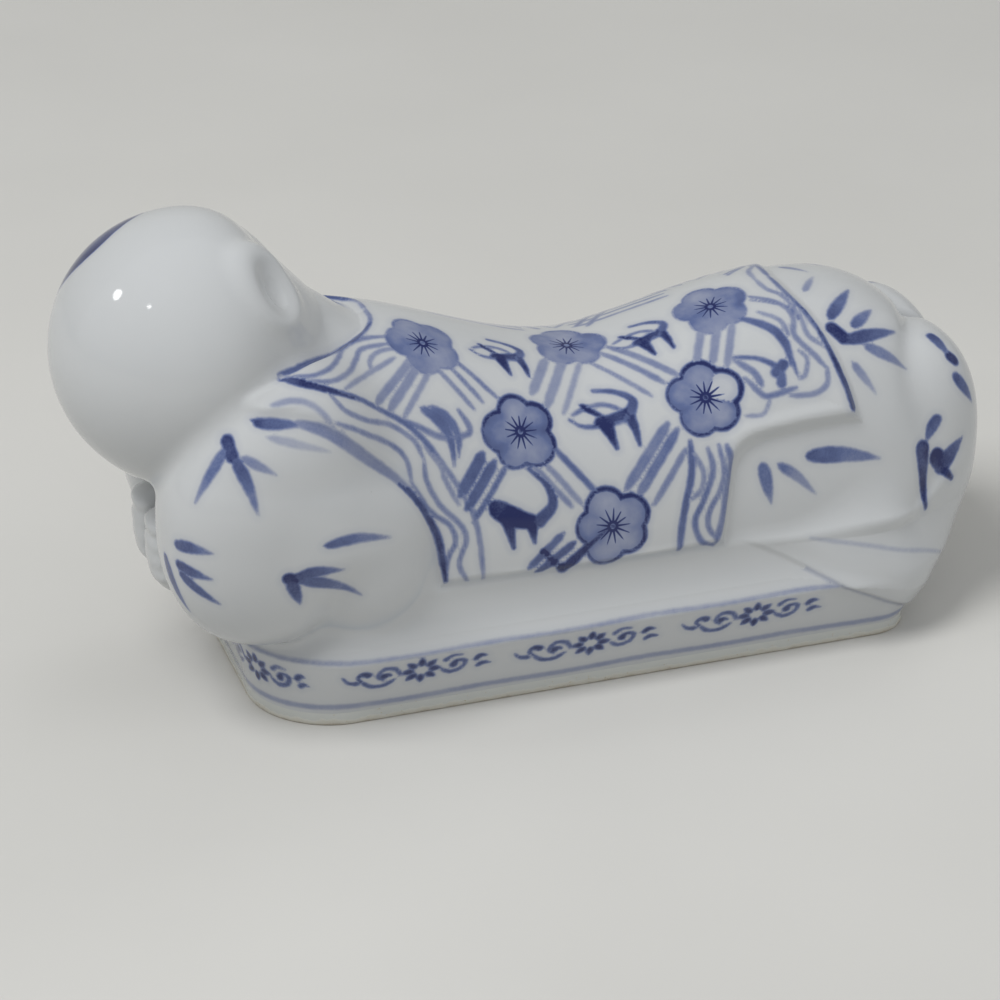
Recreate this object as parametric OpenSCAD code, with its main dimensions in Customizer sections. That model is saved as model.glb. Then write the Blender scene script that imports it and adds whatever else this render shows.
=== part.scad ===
// Porcelain pillow in the form of a child lying face down on a low plinth.
// Slip-cast hollow pieces luted together; the back of the child is the saddle that takes the neck.
// Frame: origin at the middle of the foot, +X to the feet, -X to the head, +Z up, millimetres.
// The near side, with the left arm and foot, is toward -Y.

/* [Plinth] */
// Length of the foot that the pillow stands on
foot_l = 125; // [112:1:138]
// Width of the foot
foot_w = 56; // [50:1:62]
// Plan corner radius at the head end
head_corner_r = 16; // [10:1:20]
// Plan corner radius at the feet end
feet_corner_r = 8; // [6:1:14]
// Height of the bare rim below the glazed wall
rim_h = 2.5; // [1.5:0.5:4]
// How far the plinth wall leans out between rim and edge
flare = 4; // [2:0.5:6]
// How far the flared wall is carried toward the feet
feet_carry = 2; // [0:0.5:3]
// Height of the edge where the plinth wall turns in
edge_z = 14; // [11:0.5:16]
// Rounding of that edge
edge_r = 1.5; // [0.5:0.5:2.5]
// Rise from that edge to the ledge that carries the figure
ledge_rise = 9; // [6:0.5:12]
// Thickness of every cast wall
wall = 3; // [2:0.5:4]

/* [Base slab] */
// Thickness of the slab that closes the plinth from below
slab_t = 4.5; // [4:0.5:7]
// Depth of the hollow inside the foot ring
foot_hollow = 1.5; // [1:0.5:2.5]
// Width of the foot ring
foot_ring_w = 5; // [4:0.5:8]
// Diameter of the vent hole for the kiln
vent_d = 7; // [4:0.5:12]
// Distance of the vent hole from the middle, toward the feet
vent_x = 18; // [-30:1:40]

/* [Body] */
// Ledge left bare before the shoulders
shoulder_in = 2.5; // [0:0.5:6]
// Ledge left bare behind the seat
seat_in = 0.5; // [0:0.5:5]
// Ledge left bare beside the body
side_in = 0; // [0:0.5:3]
// Distance of the nape behind the shoulders
nape_back = 20; // [16:1:24]
// Place of the lowest point of the saddle, from the middle of the foot
saddle_x = 3; // [-4:1:10]
// Distance of the hips before the seat
hip_front = 22; // [16:1:28]
// Rise of the shoulders above the ledge
shoulder_rise = 41; // [37:0.5:45]
// Rise of the nape above the ledge
nape_rise = 44; // [40:0.5:48]
// Rise of the saddle above the ledge, at its lowest
saddle_rise = 31.5; // [27:0.5:37]
// Rise of the hips above the ledge
hip_rise = 39.5; // [35:0.5:46]
// Rise that the back runs out to over the feet
seat_rise = 33; // [27:0.5:37]
// How far the seat swells out over the plinth at the feet end
seat_lean = 14; // [8:0.5:16]
// Length over which the front end rounds off
shoulder_round = 18; // [12:1:24]
// Length over which the seat rounds off
seat_round = 19; // [14:1:28]
// Diameter of the vents from the body into the hollow sleeves and feet
inner_vent_d = 4; // [2:0.5:6]

/* [Vest] */
// Thickness of the vest panel
vest_t = 1.4; // [0.8:0.1:2.5]
// Distance of the armhole's lower end behind the shoulders
armhole_back = 30; // [26:1:36]
// Distance of the collar's side corner behind the shoulders
collar_back = 12; // [8:1:16]
// Distance of the collar behind the nape, over the spine
collar_drop = 8.5; // [5:0.5:12]
// Distance of the side panel's rear edge before the hips
slit_front = 18; // [10:1:24]
// Distance of the flap's rear corner behind the hips
flap_back = 3.5; // [-2:0.5:8]
// Distance of the flap's hem before the hips, over the spine
flap_front = 6; // [2:0.5:9]
// Angle round the body of the lower edge of the flap
flap_angle = 30; // [20:1:40]

/* [Head] */
// Radius of the crown of the head
head_r = 24; // [21:0.5:26]
// Distance of the middle of the head before the nape
head_front = 28; // [25:0.5:31]
// Drop of the middle of the head below the nape
head_drop = 2; // [-1:0.5:5]
// Length of the neck from the middle of the head
neck_l = 34; // [32:0.5:38]
// Tilt of the crown above the horizontal
crown_tilt = 14; // [4:1:24]
// Turn of the face up from the horizontal
face_up = 29; // [10:1:45]
// Length of the ear
ear_l = 15; // [11:0.5:19]
// Width of the ear
ear_w = 9.5; // [7:0.5:12]
// How far the ear stands out from the head
ear_out = 3.4; // [2:0.2:5]

/* [Sleeves] */
// Length of the forearm part
forearm_l = 40; // [36:1:46]
// Width of the forearm part
forearm_w = 33; // [28:1:38]
// Height of the forearm part
forearm_h = 43; // [38:1:48]
// Distance of its middle behind the shoulders
forearm_back = 1.5; // [-2:0.5:6]
// Distance of its middle in from the side of the body
forearm_in = 9.5; // [5:0.5:13]
// Rise of its middle above the ledge
forearm_rise = 14.5; // [11:0.5:18]
// Length of the upper-arm part
upper_arm_l = 35; // [30:1:40]
// Width of the upper-arm part
upper_arm_w = 32; // [28:1:38]
// Height of the upper-arm part
upper_arm_h = 35; // [30:1:40]
// Distance of its middle behind the shoulders
upper_arm_back = 14; // [10:0.5:18]
// Distance of its middle in from the side of the body
upper_arm_in = 11; // [7:0.5:14]
// Rise of its middle above the ledge
upper_arm_rise = 10; // [7:0.5:14]
// How far the far sleeve lies back from the near one
far_sleeve_back = 2; // [0:0.5:5]

/* [Hands and feet] */
// Length of a hand
hand_l = 14; // [11:0.5:18]
// Width of a hand
hand_w = 12; // [9:0.5:15]
// Height of a hand
hand_h = 18; // [14:0.5:22]
// Distance of the middle of a hand before the shoulders
hand_front = 11; // [8:0.5:13]
// Distance of the middle of a hand from the middle of the pillow
hand_out = 5; // [3:0.5:8]
// Rise of the middle of a hand above the ledge
hand_rise = 6; // [3:0.5:9]
// Length of a foot
boot_l = 29; // [25:1:34]
// Width of a foot
boot_w = 32; // [26:1:36]
// Height of a foot
boot_h = 43; // [36:1:46]
// Distance of the middle of a foot behind the seat
boot_back = 3.5; // [1:0.5:6]
// Distance of the middle of a foot from the middle of the pillow
boot_out = 8; // [5:0.5:12]
// Rise of the middle of a foot above the ledge
boot_rise = 9.5; // [6:0.5:13]

/* [Trouser hem] */
// Thickness of the hem on the plinth
hem_t = 1.2; // [0.8:0.1:2]
// Distance of the start of the hem before the feet end of the ledge
hem_front = 32.5; // [24:0.5:38]
// Slope of the lower edge of the hem, in degrees
hem_slope = 30; // [22:1:40]

/* [Hidden] */

$fn = 64;
// Film of slip between two luted faces
slip = 0.1;
// Overshoot of a cutting solid past the face it cuts
past = 1;
// Sides of the pillow along Y
near = -1;
far = 1;

// Colours of the clay: under clear glaze, bare, and painted
glaze = "aliceblue";
biscuit = "antiquewhite";
cobalt = "lightsteelblue";

// Places that follow from the sizes
ledge_z = edge_z + ledge_rise;
body_w = foot_w - 2 * side_in;
shoulder_x = shoulder_in - foot_l / 2;
seat_x = foot_l / 2 - seat_in;
nape_x = shoulder_x + nape_back;
hip_x = seat_x - hip_front;
armhole_x = shoulder_x + armhole_back;
collar_x = shoulder_x + collar_back;
nape_collar_x = nape_x + collar_drop;
slit_x = hip_x - slit_front;
flap_corner_x = hip_x + flap_back;
flap_hem_x = hip_x - flap_front;
head_at = [nape_x - head_front, 0, ledge_z + nape_rise - head_drop];
forearm_at = [shoulder_x + forearm_back, body_w / 2 - forearm_in, ledge_z + forearm_rise];
forearm_half = [forearm_l, forearm_w, forearm_h] / 2;
upper_arm_at = [shoulder_x + upper_arm_back, body_w / 2 - upper_arm_in, ledge_z + upper_arm_rise];
upper_arm_half = [upper_arm_l, upper_arm_w, upper_arm_h] / 2;
hand_at = [shoulder_x - hand_front, hand_out, ledge_z + hand_rise];
hand_half = [hand_l, hand_w, hand_h] / 2;
boot_at = [seat_x + boot_back, boot_out, ledge_z + boot_rise];
boot_half = [boot_l, boot_w, boot_h] / 2;
hem_x = foot_l / 2 - hem_front;

// Rounding of the plinth edge: sweep in degrees and steps
edge_sweep = 70;
edge_n = 2;
// Share of the flare that is left half way up from the edge to the ledge
half_way_flare = 0.3;
// Steps in a plan corner
corner_n = 8;

// Stations along the body, and points round half its outline outside and inside
body_n = 30;
arch_n = 26;
arch_in_n = 12;
// Roundness of the body's section and of its ends, 2 being an ellipse
section_p = 2.2;
end_p = 2.7;
// Rise over which the seat swells to its full overhang
lean_rise = 14;
// Back of the body from the shoulders to the seat: [x, rise above the ledge]
spine_knots = [[shoulder_x, shoulder_rise], [nape_x, nape_rise], [saddle_x, saddle_rise],
               [hip_x, hip_rise], [seat_x, seat_rise]];

// Angles round the body where the vest starts above the ledge and where armhole turns to collar
vest_start = 4;
collar_angle = 64;
// Armhole: [angle round the body, share of the way to the collar's corner]
armhole_knots = [[0, 0], [18, 0.1], [33, 0.4], [48, 0.85], [collar_angle, 1]];
// Hem of the flap: [angle round the body, share of the way to the flap's corner]
flap_knots = [[flap_angle, 1], [53, 0.78], [66, 0.54], [80, 0.16], [90, 0]];
// Rows of the side panel and of the back, columns of the main panel and of the flap
side_n = 4;
back_n = 18;
main_n = 14;
flap_n = 4;

// Roundness of sleeves, hands and feet
lobe_p = 2.4;
// Points around and up a lobe: large, small, and inside
lobe_n = [26, 15];
small_n = [20, 12];
inner_n = [16, 10];

// Rings down the head and points round it
head_n = 23;
head_around = 32;
// Angle from the crown to the end of the neck
neck_angle = 165;
neck_bore_r = neck_l * sin(180 - neck_angle) - wall;
// Skull from the crown down: [angle, rise as a share of the crown's radius]
skull_knots = [[0, 0], [60, 0.017], [93, 0.0375], [120, -0.008], [147, 0.033], [158, 0.1875],
               [neck_angle, neck_l / head_r - 1]];
// Soft features of the head: [angle from the crown, angle round it, width in degrees, share of the radius]
face_plane = [98, 90, 34, -0.058];
nose = [106, 90, 8, 0.1];
chin = [137, 90, 13, 0.067];
right_cheek = [116, 50, 17, 0.054];
left_cheek = [116, 130, 17, 0.054];
features = [face_plane, nose, chin, right_cheek, left_cheek];
// Ear: angle from the crown, angle round the head, turn about its own root
ear_t = 104;
ear_f = -10;
ear_turn = -50;
// Hollow of the ear as shares of its size: half sizes and place
ear_hollow = [0.7, 0.28, 0.3];
ear_hollow_at = [1, 0.12, 0.06];

// Curve helpers

// Index of the knot span that holds x
function span(x, k, i = 0) = i >= len(k) - 2 || x < k[i + 1][0] ? i : span(x, k, i + 1);

// Slope of a smooth curve at knot i
function slope(k, i) =
    let (a = max(i - 1, 0), b = min(i + 1, len(k) - 1))
    (k[b][1] - k[a][1]) / (k[b][0] - k[a][0]);

// Value at x of the smooth curve through the knots [x, value]
function curve(x, k) =
    let (i = span(x, k), h = k[i + 1][0] - k[i][0], t = min(max((x - k[i][0]) / h, 0), 1))
    (2 * t ^ 3 - 3 * t ^ 2 + 1) * k[i][1] + (t ^ 3 - 2 * t ^ 2 + t) * h * slope(k, i)
    + (3 * t ^ 2 - 2 * t ^ 3) * k[i + 1][1] + (t ^ 3 - t ^ 2) * h * slope(k, i + 1);

// Rises smoothly from 0 at a to 1 at b
function ease(x, a, b) = let (t = min(max((x - a) / (b - a), 0), 1)) t * t * (3 - 2 * t);

// Power that keeps the sign
function spow(v, p) = sign(v) * abs(v) ^ p;

// Two triangles of the quad a b c d
function quad(a, b, c, d) = [[a, b, c], [a, c, d]];

// Triangles turned inside out
function flip(faces) = [for (f = faces) [f[2], f[1], f[0]]];

function flatten(lists) = [for (l = lists) each l];

// Mirrors a place to side sy
function on_side(at, sy) = [at[0], sy * at[1], at[2]];

// Everything past the middle plane as seen from side sy, moved toward that side by inset
module other_side(sy, inset = 0) {
    s = 2 * foot_l;
    translate([0, -sy * (s / 2 - slip / 2 - inset), 0]) cube(s, center = true);
}

// Plinth

// Corner of the plan on sides sx, sy, moved out by o
function corner(sx, sy, o) =
    let (r = sx < 0 ? head_corner_r : feet_corner_r,
         start = sx < 0 ? (sy < 0 ? 180 : 90) : (sy < 0 ? 270 : 0))
    [for (k = [0:corner_n]) let (a = start + 90 * k / corner_n)
        [sx * (foot_l / 2 - r) + (r + o) * cos(a), sy * (foot_w / 2 - r) + (r + o) * sin(a)]];

// Rounded plan of the plinth, moved out by o, anticlockwise
function plan(o) = concat(corner(-1, -1, o), corner(1, -1, o), corner(1, 1, o), corner(-1, 1, o));

// Flat plan with true arcs, moved out by o
module plan_2d(o) {
    l = foot_l / 2;
    w = foot_w / 2;
    translate([head_corner_r - l, -w - o])
        square([2 * l - head_corner_r - feet_corner_r, 2 * w + 2 * o]);
    translate([-l - o, head_corner_r - w]) square([head_corner_r + o, 2 * (w - head_corner_r)]);
    translate([l - feet_corner_r, feet_corner_r - w]) square([feet_corner_r + o, 2 * (w - feet_corner_r)]);
    for (sy = [near, far]) {
        translate([head_corner_r - l, sy * (w - head_corner_r)]) circle(head_corner_r + o);
        translate([l - feet_corner_r, sy * (w - feet_corner_r)]) circle(feet_corner_r + o);
    }
}

// Plans for each profile point [offset, z, shift along X]
function plan_rings(profile) = [for (p = profile) [for (q = plan(p[0])) [q[0] + p[2], q[1], p[1]]]];

// Outer profile of the plinth from the rim up to the ledge, moved out by o
function plinth_profile(o = 0) = concat(
    [[o, rim_h, 0]],
    [for (k = [0:edge_n]) let (a = edge_sweep * k / edge_n)
        [o + flare - edge_r + edge_r * cos(a), edge_z - edge_r + edge_r * sin(a), feet_carry]],
    [[o + flare * half_way_flare, (edge_z + ledge_z) / 2, feet_carry / 2], [o, ledge_z, 0]]);

// Inner profile of the plinth from the ledge down to the rim
function plinth_inside() = [[-wall, ledge_z, 0], [flare - edge_r - wall, edge_z, feet_carry],
                            [-wall, slab_t, 0], [-wall, rim_h, 0]];

// Ring with a closed profile swept round the plan
module swept_ring(profile) {
    rings = plan_rings(profile);
    n = len(rings[0]);
    m = len(rings);
    polyhedron(flatten(rings), flatten([for (i = [0:m - 1], k = [0:n - 1])
        let (i2 = (i + 1) % m, k2 = (k + 1) % n)
        quad(i * n + k, i2 * n + k, i2 * n + k2, i * n + k2)]));
}

// Solid plinth with no hollow, moved out by o
module plinth_form(o = 0) {
    rings = plan_rings(plinth_profile(o));
    n = len(rings[0]);
    m = len(rings);
    last = (m - 1) * n;
    polyhedron(
        concat(flatten(rings), [[0, 0, rim_h], [0, 0, ledge_z]]),
        concat(
            flatten([for (i = [0:m - 2], k = [0:n - 1]) let (k2 = (k + 1) % n)
                quad(i * n + k, (i + 1) * n + k, (i + 1) * n + k2, i * n + k2)]),
            [for (k = [0:n - 1]) [m * n, k, (k + 1) % n]],
            [for (k = [0:n - 1]) [m * n + 1, last + (k + 1) % n, last + k]]));
}

// Body

// Share of the full section that is left at x, falling to 0 over the rounded ends
function end_fall(x, inset) =
    let (front = shoulder_x + shoulder_round, rear = seat_x - seat_round,
         u = x < front ? (front - x) / (shoulder_round - inset)
           : x > rear ? (x - rear) / (seat_round - inset) : 0)
    (1 - min(u, 1) ^ end_p) ^ (1 / end_p);

// Point of the body at station x and angle a round its section, from the near side over the back.
// Positive out moves it outward, negative inward.
function body_point(x, a, out = 0) =
    let (e = end_fall(x, max(-out, 0)),
         y = -(body_w / 2 + out) * e * spow(cos(a), 2 / section_p),
         rise = (curve(x, spine_knots) + out) * e * abs(sin(a)) ^ (2 / section_p),
         swell = sin(90 * min(rise / lean_rise, 1)))
    [x + seat_lean * ease(x, (saddle_x + hip_x) / 2, seat_x) * swell, y, ledge_z + rise];

// Station k of body_n along the body, closer together toward both ends
function station(k, inset) =
    let (a = shoulder_x + inset, b = seat_x - inset)
    (a + b) / 2 - (b - a) / 2 * cos(180 * k / body_n);

// Rows of points over the body, one row for each station between the two end points
function body_rows(arcs, out) = [for (k = [1:body_n - 1])
    [for (j = [0:arcs]) body_point(station(k, -out), 180 * j / arcs, out)]];

// The rows with both end points
function body_skin(rows, out) =
    concat([[shoulder_x - out, 0, ledge_z]], flatten(rows), [[seat_x + out, 0, ledge_z]]);

// Triangles of a dome of rows of n points, with a point before the first row and one after the last
function dome_faces(rows, n, first) = concat(
    [for (j = [0:n - 2]) [first, first + j + 2, first + j + 1]],
    flatten([for (i = [0:rows - 2], j = [0:n - 2]) let (a = first + 1 + i * n + j)
        quad(a, a + 1, a + n + 1, a + n)]),
    [for (j = [0:n - 2]) let (a = first + 1 + (rows - 1) * n + j) [a, a + 1, first + 1 + rows * n]]);

// Points at the foot of a dome in order: front, near side, rear, far side
function foot_loop(rows, n, first) = concat([first], [for (i = [0:rows - 1]) first + 1 + i * n],
    [first + 1 + rows * n], [for (i = [rows - 1:-1:0]) first + i * n + n]);

// Body without its hollow
module body_form() {
    rows = body_rows(arch_n, 0);
    skin = body_skin(rows, 0);
    loop = foot_loop(len(rows), arch_n + 1, 0);
    polyhedron(concat(skin, [[0, 0, ledge_z]]), concat(
        dome_faces(len(rows), arch_n + 1, 0),
        [for (k = [0:len(loop) - 1]) [len(skin), loop[k], loop[(k + 1) % len(loop)]]]));
}

// Body as a cast shell, open below
module body_cast() {
    outer = body_rows(arch_n, 0);
    inner = body_rows(arch_in_n, -wall);
    skin = body_skin(outer, 0);
    lining = body_skin(inner, -wall);
    n = len(skin);
    loop = foot_loop(len(outer), arch_n + 1, 0);
    loop_in = foot_loop(len(inner), arch_in_n + 1, n);
    polyhedron(concat(skin, lining), concat(
        dome_faces(len(outer), arch_n + 1, 0),
        flip(dome_faces(len(inner), arch_in_n + 1, n)),
        flatten([for (k = [0:len(loop) - 1]) let (k2 = (k + 1) % len(loop))
            quad(loop_in[k], loop[k], loop[k2], loop_in[k2])])));
}

// Vest

// Front edge of the vest at angle a round the body: armhole, then collar
function vest_front(a) =
    let (m = min(a, 180 - a))
    m < collar_angle ? armhole_x + (collar_x - armhole_x) * curve(m, armhole_knots)
    : collar_x + (nape_collar_x - collar_x) * sin(90 * (m - collar_angle) / (90 - collar_angle));

// Rear hem of the back flap at angle a
function vest_rear(a) = flap_hem_x + (flap_corner_x - flap_hem_x) * curve(min(a, 180 - a), flap_knots);

// Angles of the rows of the vest, from the near side panel over the back
vest_angles = concat(
    [for (k = [0:side_n - 1]) vest_start + (flap_angle - vest_start) * k / side_n],
    [for (k = [0:back_n]) flap_angle + (180 - 2 * flap_angle) * k / back_n],
    [for (k = [1:side_n]) 180 - flap_angle + (flap_angle - vest_start) * k / side_n]);

// Place along the body of column i in the row at angle a
function vest_x(i, a) = i <= main_n
    ? vest_front(a) + (slit_x - vest_front(a)) * i / main_n
    : slit_x + (vest_rear(a) - slit_x) * (i - main_n) / flap_n;

// The flap covers only the rows over the back
function vest_cell(i, j) = j >= 0 && i >= 0 && j < len(vest_angles) - 1
    && (i < main_n || (i < main_n + flap_n && j >= side_n && j < side_n + back_n));

// Vest as one panel over the back, with two side panels and a rear flap
module vest_panel() {
    cols = main_n + flap_n + 1;
    rows = len(vest_angles);
    function skin(out) = [for (a = vest_angles) for (i = [0:cols - 1]) body_point(vest_x(i, a), a, out)];
    top = cols * rows;
    cells = [for (j = [0:rows - 2], i = [0:cols - 2]) if (vest_cell(i, j)) [i, j]];
    function edge(a, b) = quad(a, a + top, b + top, b);
    polyhedron(concat(skin(slip), skin(slip + vest_t)), flatten([for (c = cells)
        let (i = c[0], j = c[1], a = j * cols + i, b = a + 1, d = a + cols, e = d + 1)
        concat(
            quad(a, b, e, d),
            quad(a + top, d + top, e + top, b + top),
            vest_cell(i, j - 1) ? [] : edge(a, b),
            vest_cell(i + 1, j) ? [] : edge(b, e),
            vest_cell(i, j + 1) ? [] : edge(e, d),
            vest_cell(i - 1, j) ? [] : edge(d, a))]));
}

// Limbs

// Rounded lobe with half sizes r and n points around and up
module lobe(r, n) {
    around = n[0];
    up = n[1];
    function reach(d) = ([for (k = [0:2]) abs(d[k] / r[k]) ^ lobe_p] * [1, 1, 1]) ^ (-1 / lobe_p);
    function toward(t, f) = [sin(t) * cos(f), sin(t) * sin(f), -cos(t)];
    rows = [for (i = [1:up - 1]) [for (j = [0:around - 1])
        let (d = toward(180 * i / up, 360 * j / around)) d * reach(d)]];
    pts = concat([[0, 0, -r[2]]], flatten(rows), [[0, 0, r[2]]]);
    top = 1 + (up - 2) * around;
    polyhedron(pts, concat(
        [for (j = [0:around - 1]) [0, 1 + j, 1 + (j + 1) % around]],
        flatten([for (i = [0:up - 3], j = [0:around - 1])
            let (a = 1 + i * around, j2 = (j + 1) % around)
            quad(a + j, a + around + j, a + around + j2, a + j2)]),
        [for (j = [0:around - 1]) [top + (j + 1) % around, top + j, len(pts) - 1]]));
}

// Sleeve on side sy with its walls moved in by inset
module sleeve_form(sy, inset = 0) {
    n = inset > 0 ? inner_n : lobe_n;
    thin = inset * [1, 1, 1];
    translate([sy == far ? far_sleeve_back : 0, 0, 0]) {
        translate(on_side(forearm_at, sy)) lobe(forearm_half - thin, n);
        translate(on_side(upper_arm_at, sy)) lobe(upper_arm_half - thin, n);
    }
}

// Foot on side sy with its walls moved in by inset, cut at the middle plane
module boot_form(sy, inset = 0) {
    n = inset > 0 ? inner_n : lobe_n;
    difference() {
        translate(on_side(boot_at, sy)) lobe(boot_half - inset * [1, 1, 1], n);
        other_side(sy, inset);
    }
}

// Head

// Places a piece given with the crown up and the face along +Y
module head_frame() {
    translate(head_at) rotate([0, crown_tilt - 90, 0]) rotate([0, 0, -face_up]) children();
}

// Rise at angles t, f of one soft feature
function feature_rise(t, f, v) = v[3] * exp(-((t - v[0]) / v[2]) ^ 2 - ((f - v[1]) * sin(v[0]) / v[2]) ^ 2);

// Radius of the head at angle t from the crown and f round it, the face being at f = 90
function head_reach(t, f) = head_r * (1 + curve(t, skull_knots)
    + [for (v = features) feature_rise(t, f, v)] * [for (v = features) 1]);

// Ring of the head at angle t from the crown
function head_ring(t) = [for (j = [0:head_around - 1]) let (f = 360 * j / head_around)
    head_reach(t, f) * [sin(t) * cos(f), sin(t) * sin(f), cos(t)]];

// Head without its hollow, closed at the neck
module head_form() {
    n = head_around;
    rings = [for (i = [1:head_n]) head_ring(neck_angle * i / head_n)];
    pts = concat([[0, 0, head_reach(0, 0)]], flatten(rings), [[0, 0, neck_l * cos(neck_angle)]]);
    last = 1 + (head_n - 1) * n;
    head_frame() polyhedron(pts, concat(
        [for (j = [0:n - 1]) [0, 1 + (j + 1) % n, 1 + j]],
        flatten([for (i = [0:head_n - 2], j = [0:n - 1]) let (a = 1 + i * n, j2 = (j + 1) % n)
            quad(a + j, a + j2, a + n + j2, a + n + j)]),
        [for (j = [0:n - 1]) [last + j, last + (j + 1) % n, len(pts) - 1]]));
}

// Bore through the neck into the body
module neck_bore() {
    head_frame() translate([0, 0, -neck_l]) cylinder(r = neck_bore_r, h = neck_l);
}

// Sub-parts

module base_slab() {
    color(biscuit)
    difference() {
        union() {
            linear_extrude(rim_h) plan_2d(0);
            linear_extrude(slab_t) plan_2d(-wall - slip);
        }
        translate([0, 0, -past]) linear_extrude(foot_hollow + past) plan_2d(-foot_ring_w);
        translate([vent_x, 0, -past]) cylinder(d = vent_d, h = slab_t + 2 * past);
    }
}

module plinth() {
    color(glaze)
    swept_ring(concat(plinth_profile(), plinth_inside()));
}

module body_shell() {
    color(glaze)
    difference() {
        body_cast();
        neck_bore();
        translate([upper_arm_at[0], 0, upper_arm_at[2]]) rotate([90, 0, 0])
            cylinder(d = inner_vent_d, h = body_w + 2 * past, center = true);
        for (sy = [near, far])
            translate([hip_x, sy * boot_at[1], boot_at[2]]) rotate([0, 90, 0])
                cylinder(d = inner_vent_d, h = hip_front + seat_lean + past);
    }
}

module vest() {
    color(cobalt)
    difference() {
        vest_panel();
        sleeve_form(near, -slip);
        sleeve_form(far, -slip);
        head_form();
    }
}

module trouser_hem() {
    color(glaze)
    intersection() {
        difference() {
            plinth_form(slip + hem_t);
            plinth_form(slip);
        }
        translate([hem_x, 0, ledge_z]) rotate([0, hem_slope, 0])
            translate([-foot_w, -foot_w, 0]) cube([foot_l, 2 * foot_w, foot_l]);
    }
}

// Sleeve on side sy, hollow, cut where it is luted to the body, the head and the plinth
module sleeve(sy) {
    color(glaze)
    difference() {
        sleeve_form(sy);
        sleeve_form(sy, wall);
        body_form();
        head_form();
        plinth_form();
    }
}

module left_sleeve() { sleeve(near); }

module right_sleeve() { sleeve(far); }

// Hand on side sy, laid under the chin between the sleeves
module hand_piece(sy) {
    color(glaze)
    difference() {
        translate(on_side(hand_at, sy)) lobe(hand_half, small_n);
        other_side(sy);
        sleeve_form(near);
        sleeve_form(far);
        head_form();
        body_form();
        plinth_form();
    }
}

module left_hand() { hand_piece(near); }

module right_hand() { hand_piece(far); }

// Foot on side sy, hollow, luted to the end of the seat above the hem
module foot_piece(sy) {
    color(glaze)
    difference() {
        boot_form(sy);
        boot_form(sy, wall);
        body_form();
        plinth_form(slip + hem_t);
    }
}

module left_foot() { foot_piece(near); }

module right_foot() { foot_piece(far); }

module head() {
    color(glaze)
    difference() {
        head_form();
        translate(head_at) sphere(head_r * (1 + face_plane[3]) - wall);
        neck_bore();
        body_form();
    }
}

module right_ear() {
    color(glaze)
    difference() {
        head_frame() rotate([0, 0, ear_f]) rotate([0, ear_t - 90, 0])
            translate([head_reach(ear_t, ear_f), 0, 0]) rotate([ear_turn, 0, 0])
            difference() {
                lobe([ear_out, ear_w / 2, ear_l / 2], small_n);
                translate([ear_out * ear_hollow_at[0], ear_w * ear_hollow_at[1], ear_l * ear_hollow_at[2]])
                    lobe([ear_out * ear_hollow[0], ear_w * ear_hollow[1], ear_l * ear_hollow[2]], inner_n);
            }
        head_form();
    }
}

base_slab();
plinth();
body_shell();
vest();
trouser_hem();
left_sleeve();
right_sleeve();
left_hand();
right_hand();
left_foot();
right_foot();
head();
right_ear();
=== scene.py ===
"""Blue-and-white porcelain pillow: a child lying face down on a low plinth.

The glazed figure is one continuous skin, because its pieces are luted and glazed together.  The
skin is the zero level of a distance field: every piece has its own form, and forms join with soft
fillets as glaze does.  The skin is meshed, divided along the seams into the pieces of the CAD
frame, and painted with brush strokes that are laid on it.  Lengths are millimetres in the part's
own frame, and angles are degrees; meshes are written in metres.
"""

import logging
import math
from dataclasses import dataclass, field, replace
from enum import Enum
from typing import Callable, Iterable, Sequence

import bpy
import numpy as np
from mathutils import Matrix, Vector


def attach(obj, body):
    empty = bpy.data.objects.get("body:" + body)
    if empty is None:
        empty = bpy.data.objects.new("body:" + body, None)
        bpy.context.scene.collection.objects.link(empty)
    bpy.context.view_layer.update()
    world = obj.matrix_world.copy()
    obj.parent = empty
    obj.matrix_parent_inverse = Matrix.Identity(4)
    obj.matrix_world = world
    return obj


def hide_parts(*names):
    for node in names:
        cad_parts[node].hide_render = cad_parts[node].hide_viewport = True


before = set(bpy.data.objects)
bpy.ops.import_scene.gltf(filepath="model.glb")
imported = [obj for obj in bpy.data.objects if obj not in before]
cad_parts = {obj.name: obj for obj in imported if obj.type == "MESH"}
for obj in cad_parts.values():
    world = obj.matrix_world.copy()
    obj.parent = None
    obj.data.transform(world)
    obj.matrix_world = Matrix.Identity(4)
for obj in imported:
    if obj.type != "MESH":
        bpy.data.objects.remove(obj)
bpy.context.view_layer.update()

LOG = logging.getLogger("pillow")
MM = 0.001
FAR_OFF = 12.0
PROBE = 0.05

Array = np.ndarray
Field = Callable[[Array], Array]
Span = tuple[float, float]
Vec3 = tuple[float, float, float]
Color = tuple[float, float, float, float]


# ---------------------------------------------------------------- small maths


def blend(low: Array | float, high: Array | float, share: Array) -> Array:
    """Value between two others.

    Args:
        low: Value at share 0.
        high: Value at share 1.
        share: Shares.

    Returns:
        The values.
    """
    return low + (high - low) * share


def ease(x: Array, low: float, high: float) -> Array:
    """Smooth rise from 0 at low to 1 at high.

    Args:
        x: Values.
        low: Where the rise starts.
        high: Where it ends.

    Returns:
        Shares between 0 and 1.
    """
    t = np.clip((x - low) / (high - low), 0.0, 1.0)
    return t * t * (3.0 - 2.0 * t)


def smooth_min(a: Array, b: Array, k: float | Array) -> Array:
    """Union of two distances with a fillet.

    Args:
        a: First distance.
        b: Second distance.
        k: Reach of the fillet.

    Returns:
        The joined distance.
    """
    h = np.clip(k - np.abs(a - b), 0.0, None) / k
    return np.minimum(a, b) - h * h * k * 0.25


def smooth_max(a: Array, b: Array, k: float) -> Array:
    """Intersection of two distances with a rounded edge.

    Args:
        a: First distance.
        b: Second distance.
        k: Reach of the rounding.

    Returns:
        The cut distance.
    """
    return -smooth_min(-a, -b, k)


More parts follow.
